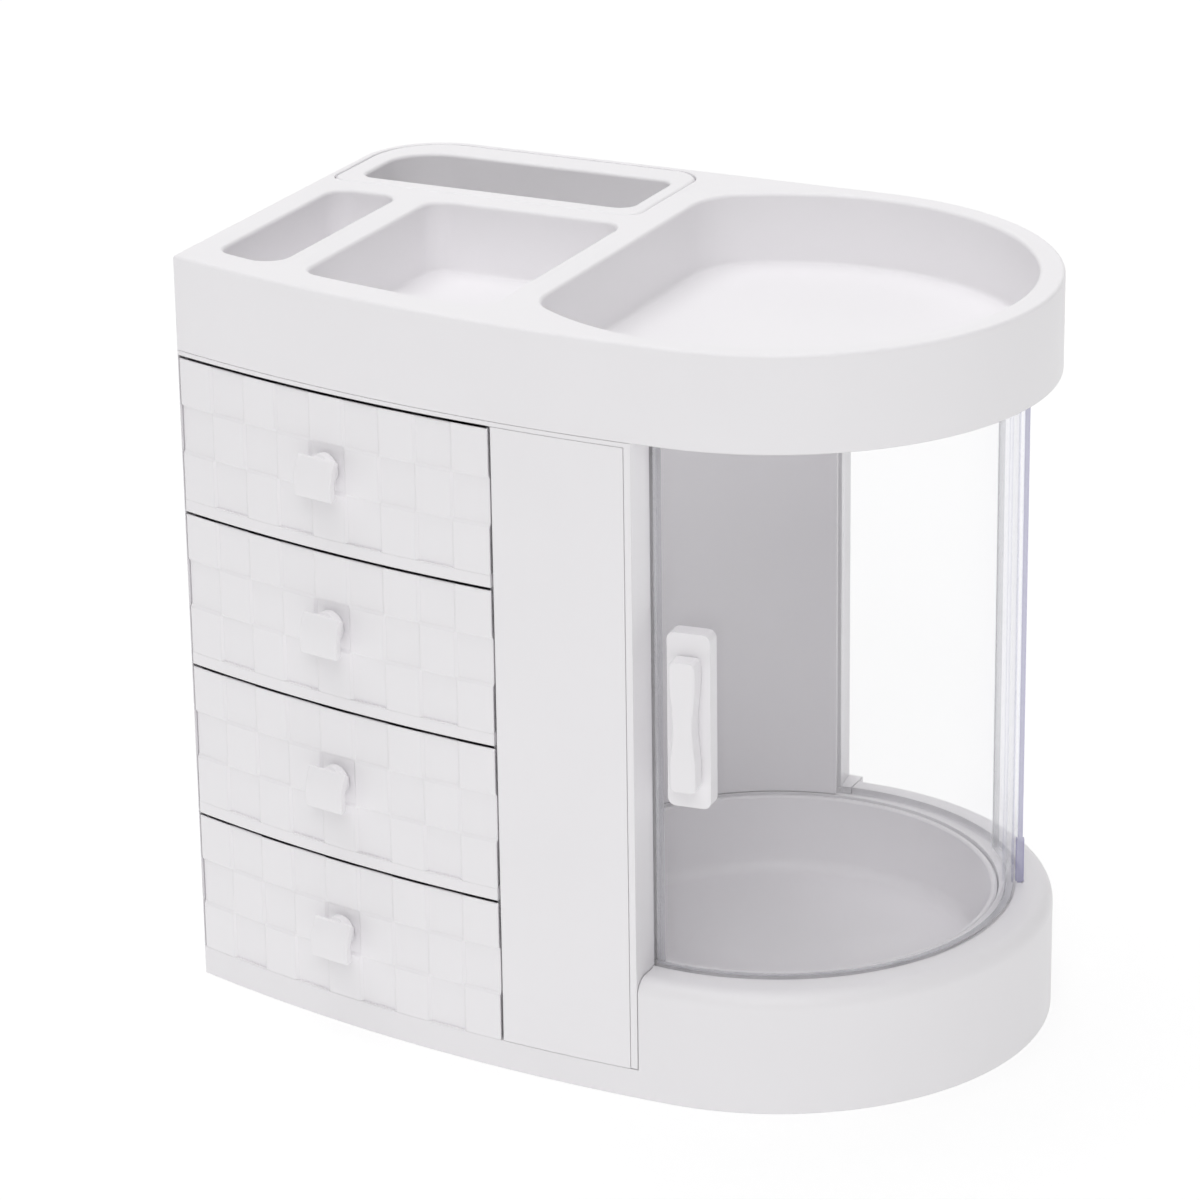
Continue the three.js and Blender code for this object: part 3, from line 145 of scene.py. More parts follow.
def front_corner(x_wall, inset, r, side):
    """Arc between an upright wall and the bow: side -1 at the left, +1 at the right."""
    cx = x_wall - side * r
    cy = BOW_Y - math.sqrt((BOW - inset - r) ** 2 - (cx - BOW_X) ** 2)
    phi = math.atan2(cy - BOW_Y, cx - BOW_X)
    return cx, cy, phi


def outline(inset):
    """The whole part's outline."""
    r, back_r = max(SHARP - inset, LEAST_SHARP), CORNER - inset
    left = -LEFT + inset
    cx, cy, phi = front_corner(left, inset, r, -1)
    tau = math.atan2(-BOW_Y, -BOW_X)
    points = arc(cx, cy, r, -math.pi, phi, SHARP_STEPS)
    points += arc(BOW_X, BOW_Y, BOW - inset, phi, tau, BOW_STEPS)[1:]
    points += arc(0, 0, END - inset, tau, math.pi / 2, END_STEPS)[1:]
    points += arc(left + back_r, BACK - inset - back_r, back_r, math.pi / 2, math.pi, CORNER_STEPS)
    return points


def bowed_pocket(left, right, inset):
    front, r = POCKET_FRONT + inset, POCKET_CORNER - inset
    x0, x1, back = -left + inset, -right - inset, POCKET_BACK - inset
    lx, ly, lp = front_corner(x0, front, r, -1)
    rx, ry, rp = front_corner(x1, front, r, 1)
    points = arc(lx, ly, r, -math.pi, lp, POCKET_STEPS)
    points += arc(BOW_X, BOW_Y, BOW - front, lp, rp, POCKET_STEPS)[1:]
    points += arc(rx, ry, r, rp, 0, POCKET_STEPS)[1:]
    points += arc(x1 - r, back - r, r, 0, math.pi / 2, POCKET_STEPS)
    points += arc(x0 + r, back - r, r, math.pi / 2, math.pi, POCKET_STEPS)
    return points


def round_pocket(inset):
    r = END - ROUND_RIM - inset
    left = -ROUND_LEFT + inset
    f, b = ROUND_FRONT_CORNER - inset, ROUND_BACK_CORNER - inset
    fy = -math.sqrt((r - f) ** 2 - (left + f) ** 2)
    by = math.sqrt((r - b) ** 2 - (left + b) ** 2)
    ft, bt = math.atan2(fy, left + f), math.atan2(by, left + b)
    return (arc(left + f, fy, f, -math.pi, ft, 12) + arc(0, 0, r, ft, bt, 84)[1:-1]
            + arc(left + b, by, b, bt, math.pi, 16))


def rounded_rect(x0, x1, y0, y1, radii, n=10):
    """Radii at front left, front right, back right, back left."""
    a, b, c, d = radii
    return (arc(x0 + a, y0 + a, a, -math.pi, -math.pi / 2, n)
            + arc(x1 - b, y0 + b, b, -math.pi / 2, 0, n)
            + arc(x1 - c, y1 - c, c, 0, math.pi / 2, n)
            + arc(x0 + d, y1 - d, d, math.pi / 2, math.pi, n * 2))


def inset_rect(x0, x1, y0, y1, radii, inset):
    return rounded_rect(x0 + inset, x1 - inset, y0 + inset, y1 - inset, [r - inset for r in radii])


def bin_outline(inset):
    return inset_rect(*BIN_RECT, BIN_RADII, inset)


def bin_cavity(right, inset):
    return inset_rect(-BIN_INNER_LEFT, -right, BIN_INNER_FRONT, BIN_INNER_BACK,
                      BIN_INNER_RADII, inset)


def bow(left, right, inset, n=BAND_STEPS):
    xs = [left + (right - left) * i / n for i in range(n + 1)]
    return [(x, front_y(x, inset)) for x in xs]


def bow_band(left, right, inset_front, inset_back, n=BAND_STEPS):
    return bow(left, right, inset_front, n) + bow(left, right, inset_back, n)[::-1]


def drawer_plan(left, right, inset, back, housing):
    """Bowed front, straight sides and the hollow that clears the round compartment."""
    turn = math.atan2(-math.sqrt(housing ** 2 - right ** 2), -right)
    return (bow(-left, -right, inset) + arc(0, 0, housing, turn, -math.pi, 30)
            + [(-housing, back), (-left, back)])


# Meshes

def mesh_of(name, verts, faces):
    mesh = bpy.data.meshes.new(name)
    mesh.from_pydata([((x + AXIS_X) * MM, y * MM, z * MM) for x, y, z in verts], [], faces)
    mesh.validate()
    mesh.update()
    return mesh


def thing(name, mesh):
    obj = bpy.data.objects.new(name, mesh)
    bpy.context.scene.collection.objects.link(obj)
    return obj


def loft(rings):
    """Closed solid through loops of equally many points; each ring is (points, z)."""
    count = len(rings[0][0])
    verts = [(x, y, z) for points, z in rings for x, y in points]
    faces = []
    for r in range(len(rings) - 1):
        for i in range(count):
            a, b = r * count + i, r * count + (i + 1) % count
            faces.append((a, b, b + count, a + count))
    low = [Vector((x, y, 0)) for x, y in rings[0][0]]
    high = [Vector((x, y, 0)) for x, y in rings[-1][0]]
    top = (len(rings) - 1) * count
    faces += [upright([(low[i], i) for i in t], False) for t in tessellate_polygon([low])]
    faces += [upright([(high[i], top + i) for i in t], True) for t in tessellate_polygon([high])]
    return thing("loft", mesh_of("loft", verts, faces))


def upright(corners, up):
    """Index triple of a flat triangle, turned to face up or down."""
    (a, i), (b, j), (c, k) = corners
    faces_up = (b - a).cross(c - a).z > 0
    return (i, j, k) if faces_up == up else (i, k, j)


def prism(points, z0, z1):
    return loft([(points, z0), (points, z1)])


def block(x0, x1, y0, y1, z0, z1):
    return prism([(x0, y0), (x1, y0), (x1, y1), (x0, y1)], z0, z1)


def circle(r, n=ROUND_STEPS, x=0.0, y=0.0):
    angles = [2 * math.pi * i / n for i in range(n)]
    return [(x + r * math.cos(a), y + r * math.sin(a)) for a in angles]


def disc(r, z0, z1, x=0.0, y=0.0, n=ROUND_STEPS):
    return prism(circle(r, n, x, y), z0, z1)


def arc_band(r0, r1, a0, a1, z0, z1, n=None):
    n = n or max(4, int(abs(a1 - a0) / ARC_STEP))
    return prism(arc(0, 0, r1, rad(a0), rad(a1), n) + arc(0, 0, r0, rad(a1), rad(a0), n), z0, z1)


def lathe(profile):
    """Closed solid of revolution; the profile starts and ends on the axis."""
    n = ROUND_STEPS
    verts = [(0, 0, profile[0][1])]
    body = profile[1:-1]
    for r, z in body:
        verts += [(x, y, z) for x, y in circle(r)]
    verts.append((0, 0, profile[-1][1]))
    faces = []
    for i in range(n):
        j = (i + 1) % n
        faces.append((0, 1 + j, 1 + i))
        for k in range(len(body) - 1):
            a, b = 1 + k * n + i, 1 + k * n + j
            faces.append((a, b, b + n, a + n))
        last = 1 + (len(body) - 1) * n
        faces.append((len(verts) - 1, last + i, last + j))
    return thing("lathe", mesh_of("lathe", verts, faces))


def settled(obj):
    """The object's mesh with its modifiers applied."""
    bpy.context.view_layer.update()
    return bpy.data.meshes.new_from_object(obj.evaluated_get(bpy.context.evaluated_depsgraph_get()))


def combine(base, *steps):
    """Applies booleans in turn: each step is ('+', other), ('-', other) or ('&', other)."""
    kind = {"+": "UNION", "-": "DIFFERENCE", "&": "INTERSECT"}
    for sign, other in steps:
        cut = base.modifiers.new("cut", "BOOLEAN")
        cut.operation = kind[sign]
        cut.solver = "MANIFOLD"
        cut.object = other
    result = thing(base.name, settled(base))
    for other in [base] + [o for _, o in steps]:
        drop(other)
    return result


def drop(obj):
    if obj.name in bpy.data.objects:
        bpy.data.objects.remove(obj)


def fillet_top(top, radius, n=ROUNDING_STEPS):
    """(inset, z) pairs from the foot of a rounded upper edge to its flat."""
    return [(radius * (1 - math.cos(a)), top - radius * (1 - math.sin(a)))
            for a in (math.pi / 2 * i / n for i in range(n + 1))]


def with_round_top(foot, top, radius, n=ROUNDING_STEPS):
    """The whole part's outline from foot to top, with a rounded upper edge."""
    return loft([(outline(0), foot)] + [(outline(i), z) for i, z in fillet_top(top, radius, n)])


def bevelled(obj, width, segments, angle=40):
    """Rounds the edges sharper than an angle and keeps the result as the object's mesh."""
    mod = obj.modifiers.new("soft_edges", "BEVEL")
    mod.width = width * MM
    mod.segments = segments
    mod.limit_method = "ANGLE"
    mod.angle_limit = rad(angle)
    mod.harden_normals = False
    mesh = settled(obj)
    obj.modifiers.clear()
    obj.data = mesh
    return obj


def finish_piece(obj, name, material, body, nodes, angle=28, bevel=None):
    """Dresses a piece and puts it on its body in place of CAD nodes.

    angle is the least one, in degrees, that looks sharp; bevel is (width, segments).
    """
    if bevel:
        bevelled(obj, *bevel)
    obj.name = name
    obj.data.name = name
    obj.data.shade_smooth()
    obj.data.set_sharp_from_angle(angle=rad(angle))
    normal = obj.modifiers.new("even_normals", "WEIGHTED_NORMAL")
    normal.keep_sharp = True
    obj.data.materials.clear()
    obj.data.materials.append(material)
    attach(obj, body)
    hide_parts(*nodes)
    return obj


# Materials

def node_material(name):
    material = bpy.data.materials.new(name)
    material.use_nodes = True
    tree = material.node_tree
    return material, tree, tree.nodes["Principled BSDF"]


def noise(tree, scale, detail=None):
    """Noise over the object's own coordinates."""
    place = tree.nodes.new("ShaderNodeTexCoord")
    texture = tree.nodes.new("ShaderNodeTexNoise")
    texture.inputs["Scale"].default_value = scale
    if detail is not None:
        texture.inputs["Detail"].default_value = detail
    tree.links.new(place.outputs["Object"], texture.inputs["Vector"])
    return texture


def relief(tree, texture, strength, distance):
    """Bump from a texture."""
    bump = tree.nodes.new("ShaderNodeBump")
    bump.inputs["Strength"].default_value = strength
    bump.inputs["Distance"].default_value = distance
    tree.links.new(texture.outputs["Fac"], bump.inputs["Height"])
    return bump


def mottle(tree, shader, texture, color, dark):
    """Base color between a color and its darker share, by a texture."""
    tint = tree.nodes.new("ShaderNodeMix")
    tint.data_type = "RGBA"
    tint.inputs["A"].default_value = (*color, 1)
    tint.inputs["B"].default_value = (*(c * dark for c in color), 1)
    tree.links.new(texture.outputs["Fac"], tint.inputs["Factor"])
    tree.links.new(tint.outputs["Result"], shader.inputs["Base Color"])


def moulded(name, color, roughness, edge=0.35):
    """White injection moulding: soft edges, faint mottling and a very fine texture."""
    material, tree, shader = node_material(name)
    nodes, links = tree.nodes, tree.links
    cloud = noise(tree, scale=22.0, detail=3.0)
    mottle(tree, shader, cloud, color, dark=0.965)
    rough = nodes.new("ShaderNodeMapRange")
    rough.inputs["To Min"].default_value = roughness - 0.05
    rough.inputs["To Max"].default_value = roughness + 0.06
    links.new(cloud.outputs["Fac"], rough.inputs["Value"])
    links.new(rough.outputs["Result"], shader.inputs["Roughness"])
    soft = nodes.new("ShaderNodeBevel")
    soft.samples = 4
    soft.inputs["Radius"].default_value = edge * MM
    bump = relief(tree, noise(tree, scale=900.0, detail=2.0), strength=0.02, distance=0.0004)
    links.new(soft.outputs["Normal"], bump.inputs["Normal"])
    links.new(bump.outputs["Normal"], shader.inputs["Normal"])
    shader.inputs["IOR"].default_value = 1.5
    return material


FACE_ON = 0.04            # reflection of plastic seen face on; it rises to 1 at a grazing angle


def clear_plastic(name, color, alpha, gloss):
    """Clear moulding seen through: a faint body tint and mirror-like gloss by angle."""
    material, tree, shader = node_material(name)
    nodes, links = tree.nodes, tree.links
    bump = relief(tree, noise(tree, scale=14.0, detail=1.0), strength=0.15, distance=0.004)
    shader.inputs["Base Color"].default_value = (*color, 1)
    shader.inputs["Roughness"].default_value = 0.06
    shader.inputs["IOR"].default_value = 1.5
    shader.inputs["Alpha"].default_value = alpha
    links.new(bump.outputs["Normal"], shader.inputs["Normal"])
    mirror = nodes.new("ShaderNodeBsdfGlossy")
    mirror.inputs["Roughness"].default_value = 0.05
    mirror.inputs["Color"].default_value = (0.95, 0.95, 1.0, 1)
    links.new(bump.outputs["Normal"], mirror.inputs["Normal"])
    facing = nodes.new("ShaderNodeLayerWeight")
    facing.inputs["Blend"].default_value = 0.5
    rise = nodes.new("ShaderNodeMath")
    rise.operation = "POWER"
    rise.inputs[1].default_value = 5.0
    links.new(facing.outputs["Facing"], rise.inputs[0])
    level = nodes.new("ShaderNodeMath")
    level.operation = "MULTIPLY_ADD"
    level.inputs[1].default_value = (1 - FACE_ON) * gloss
    level.inputs[2].default_value = FACE_ON * gloss
    links.new(rise.outputs["Value"], level.inputs[0])
    mix = nodes.new("ShaderNodeMixShader")
    links.new(level.outputs["Value"], mix.inputs["Fac"])
    links.new(shader.outputs["BSDF"], mix.inputs[1])
    links.new(mirror.outputs["BSDF"], mix.inputs[2])
    links.new(mix.outputs["Shader"], nodes["Material Output"].inputs["Surface"])
    return material


def speckled(name, color, roughness, metallic, scale, depth):
    """Rubber or plated steel with a fine grain."""
    material, tree, shader = node_material(name)
    grain = noise(tree, scale)
    mottle(tree, shader, grain, color, dark=0.85)
    bump = relief(tree, grain, strength=0.3, distance=depth)
    tree.links.new(bump.outputs["Normal"], shader.inputs["Normal"])
    shader.inputs["Roughness"].default_value = roughness
    shader.inputs["Metallic"].default_value = metallic
    return material


white = moulded("white_moulding", (0.955, 0.94, 0.96), 0.36)
# Darker copy of the white moulding: painted shade on the base, where the lower part gets less
# light.
base_white_painted_shade = moulded("base_painted_shade_moulding", (0.925, 0.91, 0.93), 0.38)
front_white = moulded("front_white_moulding", (0.955, 0.94, 0.96), 0.3, edge=0.1)
# Lighter copy of the white moulding: painted light on the bowl in the dim round compartment and on
# the drawer boxes.
inner_white_painted_light = moulded("inner_painted_light_moulding", (0.965, 0.95, 0.97), 0.45)
# Darker copy of the white moulding: painted shade on the inner wall inside the round compartment.
wall_white_painted_shade = moulded("wall_painted_shade_moulding", (0.89, 0.875, 0.895), 0.45)
clear = clear_plastic("clear_plastic", (0.97, 0.97, 1.0), alpha=0.015, gloss=0.6)
# The plastic's violet tint and painted shade where its edges bend light, for the pane's and the
# door's rims.
pane_rim_painted_shade = clear_plastic("clear_plastic_pane_rim_painted_shade", (0.46, 0.45, 0.66), alpha=0.72, gloss=0.6)
door_rim_painted_shade = clear_plastic("clear_plastic_door_rim_painted_shade", (0.55, 0.55, 0.58), alpha=0.6, gloss=0.8)
rubber = speckled("foot_rubber", (0.62, 0.62, 0.63), roughness=0.85, metallic=0.0,
                  scale=800, depth=0.0003)
steel = speckled("plated_steel", (0.55, 0.56, 0.58), roughness=0.35, metallic=1.0,
                 scale=300, depth=0.0001)


# Base: skirt, ring under the round end, lip, groove and the feet's seats

LEDGE_ROUND, LEDGE_STEPS = 5, 8
WELL_FLOOR = 4
FOOT_SEAT, FOOT_BOSS, FOOT_STEPS = 7.3, 9, 32
FOOT_SEAT_TOP, FOOT_BOSS_TOP = 2.3, SKIRT_TOP - WALL / 2
FOOT_X = -154.5, -7.5
FOOT_PLACES = ((FOOT_X[0], front_y(FOOT_X[0], 16)), (FOOT_X[1], front_y(FOOT_X[1], 11)), (74, 0),
               (FOOT_X[1], 74), (FOOT_X[0], 69))
ABOVE_BASE = 60           # upper end of the base's cutters


def pane_slot(z0, z1):
    return arc_band(DOOR_OUT, PANE_OUT + SEAT, PANE_FROM - SEAT, PANE_TO + SEAT, z0, z1)


def open_side(z0, z1):
    """Block over everything right of the cabinet's edge."""
    return block(-OPENING_EDGE + SEAT, FAR, -FAR, FAR, z0, z1)


def make_base():
    ledge = with_round_top(FOOT_PROUD, LEDGE_TOP, LEDGE_ROUND, LEDGE_STEPS)
    ledge = combine(ledge, ("&", open_side(-OVERRUN, ABOVE_BASE)))
    skirt = prism(outline(0), FOOT_PROUD, SKIRT_TOP)
    hub = disc(HOUSING - SEAT, FOOT_PROUD, LEDGE_TOP)
    under = prism(outline(WALL), -OVERRUN, SKIRT_TOP - WALL)
    groove = combine(disc(DOOR_OUT + DOOR_GAP, LEDGE_TOP - GROOVE, ABOVE_BASE),
                     ("-", disc(LIP_OUT, 0, ABOVE_BASE + OVERRUN)))
    hollow = combine(under, ("-", disc(LIP_OUT + WALL, -2 * OVERRUN, ABOVE_BASE)))
    well = disc(LIP, WELL_FLOOR, ABOVE_BASE)
    steps = [("+", ledge), ("+", hub), ("-", hollow), ("-", well), ("-", groove),
             ("-", pane_slot(LEDGE_TOP - GROOVE, ABOVE_BASE))]
    for x, y in FOOT_PLACES:
        steps.append(("+", disc(FOOT_BOSS, FOOT_PROUD, FOOT_BOSS_TOP, x, y, FOOT_STEPS)))
        steps.append(("-", disc(FOOT_SEAT, -OVERRUN, FOOT_SEAT_TOP, x, y, FOOT_STEPS)))
    return combine(skirt, *steps)


# The base wears the darker copy of the white: painted shade low on the part.
finish_piece(make_base(), "base_moulding", base_white_painted_shade, "cabinet", ["base"])


# Cabinet: shell, shelves and filler panel

# Rectangles are (x0, x1, y0, y1), blocks are (x0, x1, y0, y1, z0, z1).
REAR_BAY, REAR_BAY_RADII = (-168.3, -15, 31.2, 82.8), (0.01, 0.01, 0.01, 23.8)
BACK_RECESS = (-142.3, -17.7, BACK - 1.5, BACK + OVERRUN, 19.5, 195.8)
BACK_WINDOW = (-138, -22, BACK - 4.4, BACK + OVERRUN, 23.8, 191.5)
PANEL_HOLE_LEFT, PANEL_HOLE_RIGHT = -PANEL_LEFT - WALL / 2 + SEAT, -OPENING_EDGE - WALL
PANEL_HOLE_STEPS = 8


def make_cabinet():
    z0, above = SKIRT_TOP + SEAT, CAB_TOP + OVERRUN
    below = z0 - OVERRUN

    def under_plate(plan):
        return prism(plan, below, PLATE_UNDER)

    def beside_housing(plan):
        return combine(under_plate(plan), ("-", disc(HOUSING_OUT, below, above)))

    left_side = block(-FAR, -OPENING_EDGE, -FAR, FAR, below, above)
    shell = combine(prism(outline(0), z0, CAB_TOP), ("&", left_side))
    bay = beside_housing(drawer_plan(BAY_LEFT, BAY_RIGHT, -OVERRUN, BAY_BACK, HOUSING_OUT))
    rear = beside_housing(rounded_rect(*REAR_BAY, REAR_BAY_RADII))
    panel_hole = beside_housing(bow(PANEL_HOLE_LEFT, PANEL_HOLE_RIGHT, -OVERRUN, PANEL_HOLE_STEPS)
                                + [(PANEL_HOLE_RIGHT, -LIP / 2), (PANEL_HOLE_LEFT, -LIP / 2)])
    front = under_plate(bow_band(-FRONT_LEFT - SEAT, -(FRONT_RIGHT + PANEL_LEFT) / 2,
                                 -OVERRUN, FRONT_THICK + SLIDE))
    panel = under_plate(bow_band(-FRONT_RIGHT, -PANEL_RIGHT + SEAM, -OVERRUN, PANEL_THICK + SEAT))
    bin_hole = prism(bin_cavity(BIN_LOWER_RIGHT, -TRAY_WALL), PLATE_UNDER - OVERRUN, above)
    stop = combine(disc(HOUSING + SEAT, LEDGE_TOP + SEAT, RAIL_LOW - SEAT),
                   ("-", disc(DOOR_OUT + SLIDE, below, above)),
                   ("&", block(-OPENING_EDGE - STOP_WIDTH, -OPENING_EDGE, -FAR, 0, below, above)))
    rear_edge = arc_band(DOOR_OUT, END + OVERRUN, PANE_FROM, REAR_EDGE_TO, LEDGE_TOP, RAIL_LOW)
    return combine(shell, ("-", bay), ("-", rear), ("-", panel_hole), ("-", front), ("-", panel),
                   ("-", disc(HOUSING, below, above)), ("-", bin_hole),
                   ("-", block(*BACK_RECESS)), ("-", block(*BACK_WINDOW)), ("+", stop),
                   ("-", pane_slot(LEDGE_TOP - GROOVE, RAIL_UNDER)), ("-", rear_edge))


finish_piece(make_cabinet(), "cabinet_moulding", white, "cabinet", ["cabinet_shell"])

for n in range(1, DRAWERS):
    top = floor_of(n)
    plan = drawer_plan(SHELF_LEFT, SHELF_RIGHT, SHELF_FRONT, SHELF_BACK, HOUSING_OUT + SEAT)
    plate = prism(plan, top - SHELF_THICK, top)
    band = prism(bow_band(-FRONT_LEFT, -FRONT_RIGHT, BAND_INSET, FRONT_THICK), top - BAND, top)
    web = prism(bow_band(-WEB_LEFT, -WEB_RIGHT, WEB_FRONT, WEB_BACK), top - SHELF_THICK, top)
    finish_piece(combine(plate, ("+", band), ("+", web)), f"shelf_{n}_fine", white, "cabinet",
                 [f"shelf_{n}"], bevel=(0.12, 2))

panel = prism(bow_band(-PANEL_LEFT, -PANEL_RIGHT, 0, PANEL_THICK, BAND_STEPS // 2),
              SKIRT_TOP + SEAM, PLATE_UNDER - SEAM)
finish_piece(panel, "front_panel_fine", white, "cabinet", ["front_panel"],
             bevel=(0.35, 3))


# Round compartment: inner wall, pane, rail, door and bowl

wall = arc_band(LIP, LIP_OUT - SEAT, INNER_WALL_FROM, INNER_WALL_TO,
                LEDGE_TOP + SEAT, RAIL_LOW - SEAT)
# The inner wall wears the darker copy of the white: painted shade inside the compartment.
finish_piece(wall, "inner_wall_fine", wall_white_painted_shade, "cabinet", ["inner_wall"],
             bevel=(0.4, 3))

PANE_FOOT_PROUD, PANE_FOOT_HEIGHT = 0.5, 14
FOOT_SWEEP = 1.97         # degrees of the pane's foot, and of half a door guide
DOOR_SHADE_SWEEP, PANE_SHADE_SWEEP = 1.15, 2.2               # degrees given painted shade at an upright edge
OUTWARD = 0.9             # least share of the normal that points outwards, on a curved face
DOOR_STEPS, PANE_FOOT_STEPS, GUIDE_STEPS = 116, 2, 4
GUIDE_ANGLES = (-89, -35, 14)
BELOW_RAIL, ABOVE_RAIL = 100, 300                  # ends of the rail's cutters


def edge_faces(obj, material, chosen):
    """Gives a second material to the faces that chosen picks by normal and middle."""
    obj.data.materials.append(material)
    for face in obj.data.polygons:
        middle = face.center / MM
        if chosen(face.normal, Vector((middle.x - AXIS_X, middle.y, middle.z))):
            face.material_index = 1


def turn_of(point):
    return math.degrees(math.atan2(point.y, point.x))


def thin_side(normal, middle):
    """Whether a face is on the rim of an upright curved wall."""
    outward = Vector((middle.x, middle.y, 0)).normalized()
    return abs(normal.dot(outward)) < OUTWARD


def door_shade_faces(normal, middle):
    """The door's rim and the inner faces of its upright borders, which get painted shade where the
    clear edge bends light.
    """
    inside = normal.dot(Vector((middle.x, middle.y, 0))) < 0
    between = DOOR_FROM + DOOR_SHADE_SWEEP < turn_of(middle) < DOOR_TO - DOOR_SHADE_SWEEP
    return thin_side(normal, middle) or (inside and not between)


def pane_shade_faces(normal, middle):
    """The pane's front end and its foot, whose cut faces get painted shade where the clear edge
    bends light.
    """
    return thin_side(normal, middle) and turn_of(middle) < PANE_FROM + PANE_SHADE_SWEEP


pane = arc_band(PANE_IN, PANE_OUT, PANE_FROM, PANE_TO, LEDGE_TOP - GROOVE + SEAT, RAIL_UNDER - SEAT)
foot = arc_band(PANE_IN - PANE_FOOT_PROUD, PANE_OUT + PANE_FOOT_PROUD, PANE_FROM,
                PANE_FROM + FOOT_SWEEP, LEDGE_TOP + SEAT, LEDGE_TOP + PANE_FOOT_HEIGHT,
                PANE_FOOT_STEPS)
pane = finish_piece(combine(pane, ("+", foot)), "rear_pane_fine", clear, "cabinet", ["rear_pane"],
                    bevel=(0.35, 2))
# Painted shade on the pane's cut end and foot, with the plastic's violet tint.
edge_faces(pane, pane_rim_painted_shade, pane_shade_faces)

wide_rail = arc_band(LIP, RAIL_WIDE, PANE_FROM - RAIL_SPARE_ANGLE, PANE_TO + RAIL_SPARE_ANGLE,
                     RAIL_LOW, CAB_TOP)
rail_groove = combine(disc(DOOR_OUT + DOOR_GAP, BELOW_RAIL, RAIL_UNDER),
                      ("-", disc(LIP_OUT, BELOW_RAIL - OVERRUN, ABOVE_RAIL)))
rail = combine(disc(HOUSING - SEAT, RAIL_LOW, CAB_TOP),
               ("+", combine(wide_rail, ("&", open_side(BELOW_RAIL, ABOVE_RAIL)))),
               ("-", disc(LIP, BELOW_RAIL, RAIL_UNDER)), ("-", rail_groove),
               ("-", pane_slot(BELOW_RAIL, RAIL_UNDER)))
finish_piece(rail, "upper_rail_fine", white, "cabinet", ["upper_rail"])

door = arc_band(DOOR_IN, DOOR_OUT, DOOR_FROM, DOOR_TO,
                LEDGE_TOP + DOOR_LIFT, RAIL_UNDER - DOOR_LIFT, DOOR_STEPS)
door = finish_piece(door, "clear_door_fine", clear, "door", ["clear_door"],
                    bevel=(0.45, 3))
# Painted shade on the door's rim and upright borders, where the clear edge bends light.
edge_faces(door, door_rim_painted_shade, door_shade_faces)

for i, angle in enumerate(GUIDE_ANGLES, 1):
    guide = arc_band(DOOR_IN, DOOR_OUT, angle - FOOT_SWEEP, angle + FOOT_SWEEP,
                     LEDGE_TOP - GROOVE + SLIDE, LEDGE_TOP + DOOR_LIFT - SEAT, GUIDE_STEPS)
    finish_piece(guide, f"door_guide_{i}_fine", clear, "door", [f"door_guide_{i}"],
                 bevel=(0.2, 2))

HANDLE_ANGLE, HANDLE_MIDDLE = -84.8, 122.1
PLATE_HALF_WIDTH, PLATE_HALF_HEIGHT, PLATE_CORNER, PLATE_THICK = 6.7, 27.15, 2.4, 5.7
PLATE_STEPS, GRIP_STEPS = 6, 40
GRIP_HALF_HEIGHT, GRIP_WAIST, GRIP_SWELL, GRIP_THICK = 20.25, 3.1, 1.0, 5.8
GRIP_WIDEST, GRIP_END, GRIP_TAPER = 0.72, 0.9, 0.75   # two shares of the half height, and mm


def moved(x, y, z):
    return Matrix.Translation(Vector((x * MM, y * MM, z * MM)))


def turned(angle, axis):
    return Matrix.Rotation(angle, 4, axis)


HOME = moved(AXIS_X, 0, 0)


def place_mesh(obj, matrix):
    """Moves a mesh by a matrix whose origin is the round end's axis."""
    obj.data.transform(HOME @ matrix @ HOME.inverted())


def on_door(points, r0, depth):
    """A flat outline (x across, z up) made into a slab that stands on the door, facing out."""
    obj = prism(points, 0.0, depth)
    place_mesh(obj, turned(rad(HANDLE_ANGLE) + math.pi / 2, "Z") @ moved(0, -r0, HANDLE_MIDDLE)
               @ turned(math.pi / 2, "X"))
    return obj


def grip_outline():
    """Hourglass outline of the grip."""
    right = []
    for i in range(GRIP_STEPS + 1):
        z = -GRIP_HALF_HEIGHT + 2 * GRIP_HALF_HEIGHT * i / GRIP_STEPS
        t = abs(z) / GRIP_HALF_HEIGHT
        half = GRIP_WAIST + GRIP_SWELL * (0.5 - 0.5 * math.cos(min(t / GRIP_WIDEST, 1) * math.pi))
        if t > GRIP_END:
            half -= GRIP_TAPER * ((t - GRIP_END) / (1 - GRIP_END)) ** 2
        right.append((half, z))
    return right + [(-x, z) for x, z in reversed(right)]


plate_outline = rounded_rect(-PLATE_HALF_WIDTH, PLATE_HALF_WIDTH, -PLATE_HALF_HEIGHT,
                             PLATE_HALF_HEIGHT, [PLATE_CORNER] * 4, PLATE_STEPS)
plate = on_door(plate_outline, DOOR_OUT + SLIDE, PLATE_THICK)
finish_piece(plate, "door_handle_plate_fine", white, "door", ["door_handle_plate"],
             bevel=(0.8, 3))
grip = on_door(grip_outline(), DOOR_OUT + SLIDE + PLATE_THICK + SEAT, GRIP_THICK)
finish_piece(grip, "door_grip_fine", white, "door", ["door_grip"], bevel=(0.7, 3))

BOWL_OUT, BOWL_IN = LIP - 0.5, LIP - 2.5
BOWL_BOTTOM, BOWL_FLOOR, BOWL_TOP = 11, 13, 38.5
BOWL_ROUND, BOWL_EDGE = 4, 0.6                     # rounding of the foot, bevel of the lip
BOWL_STEPS = 8
SPINDLE_HOLE, HUB_OUT, HUB_BOTTOM = 5, 8, 4.8


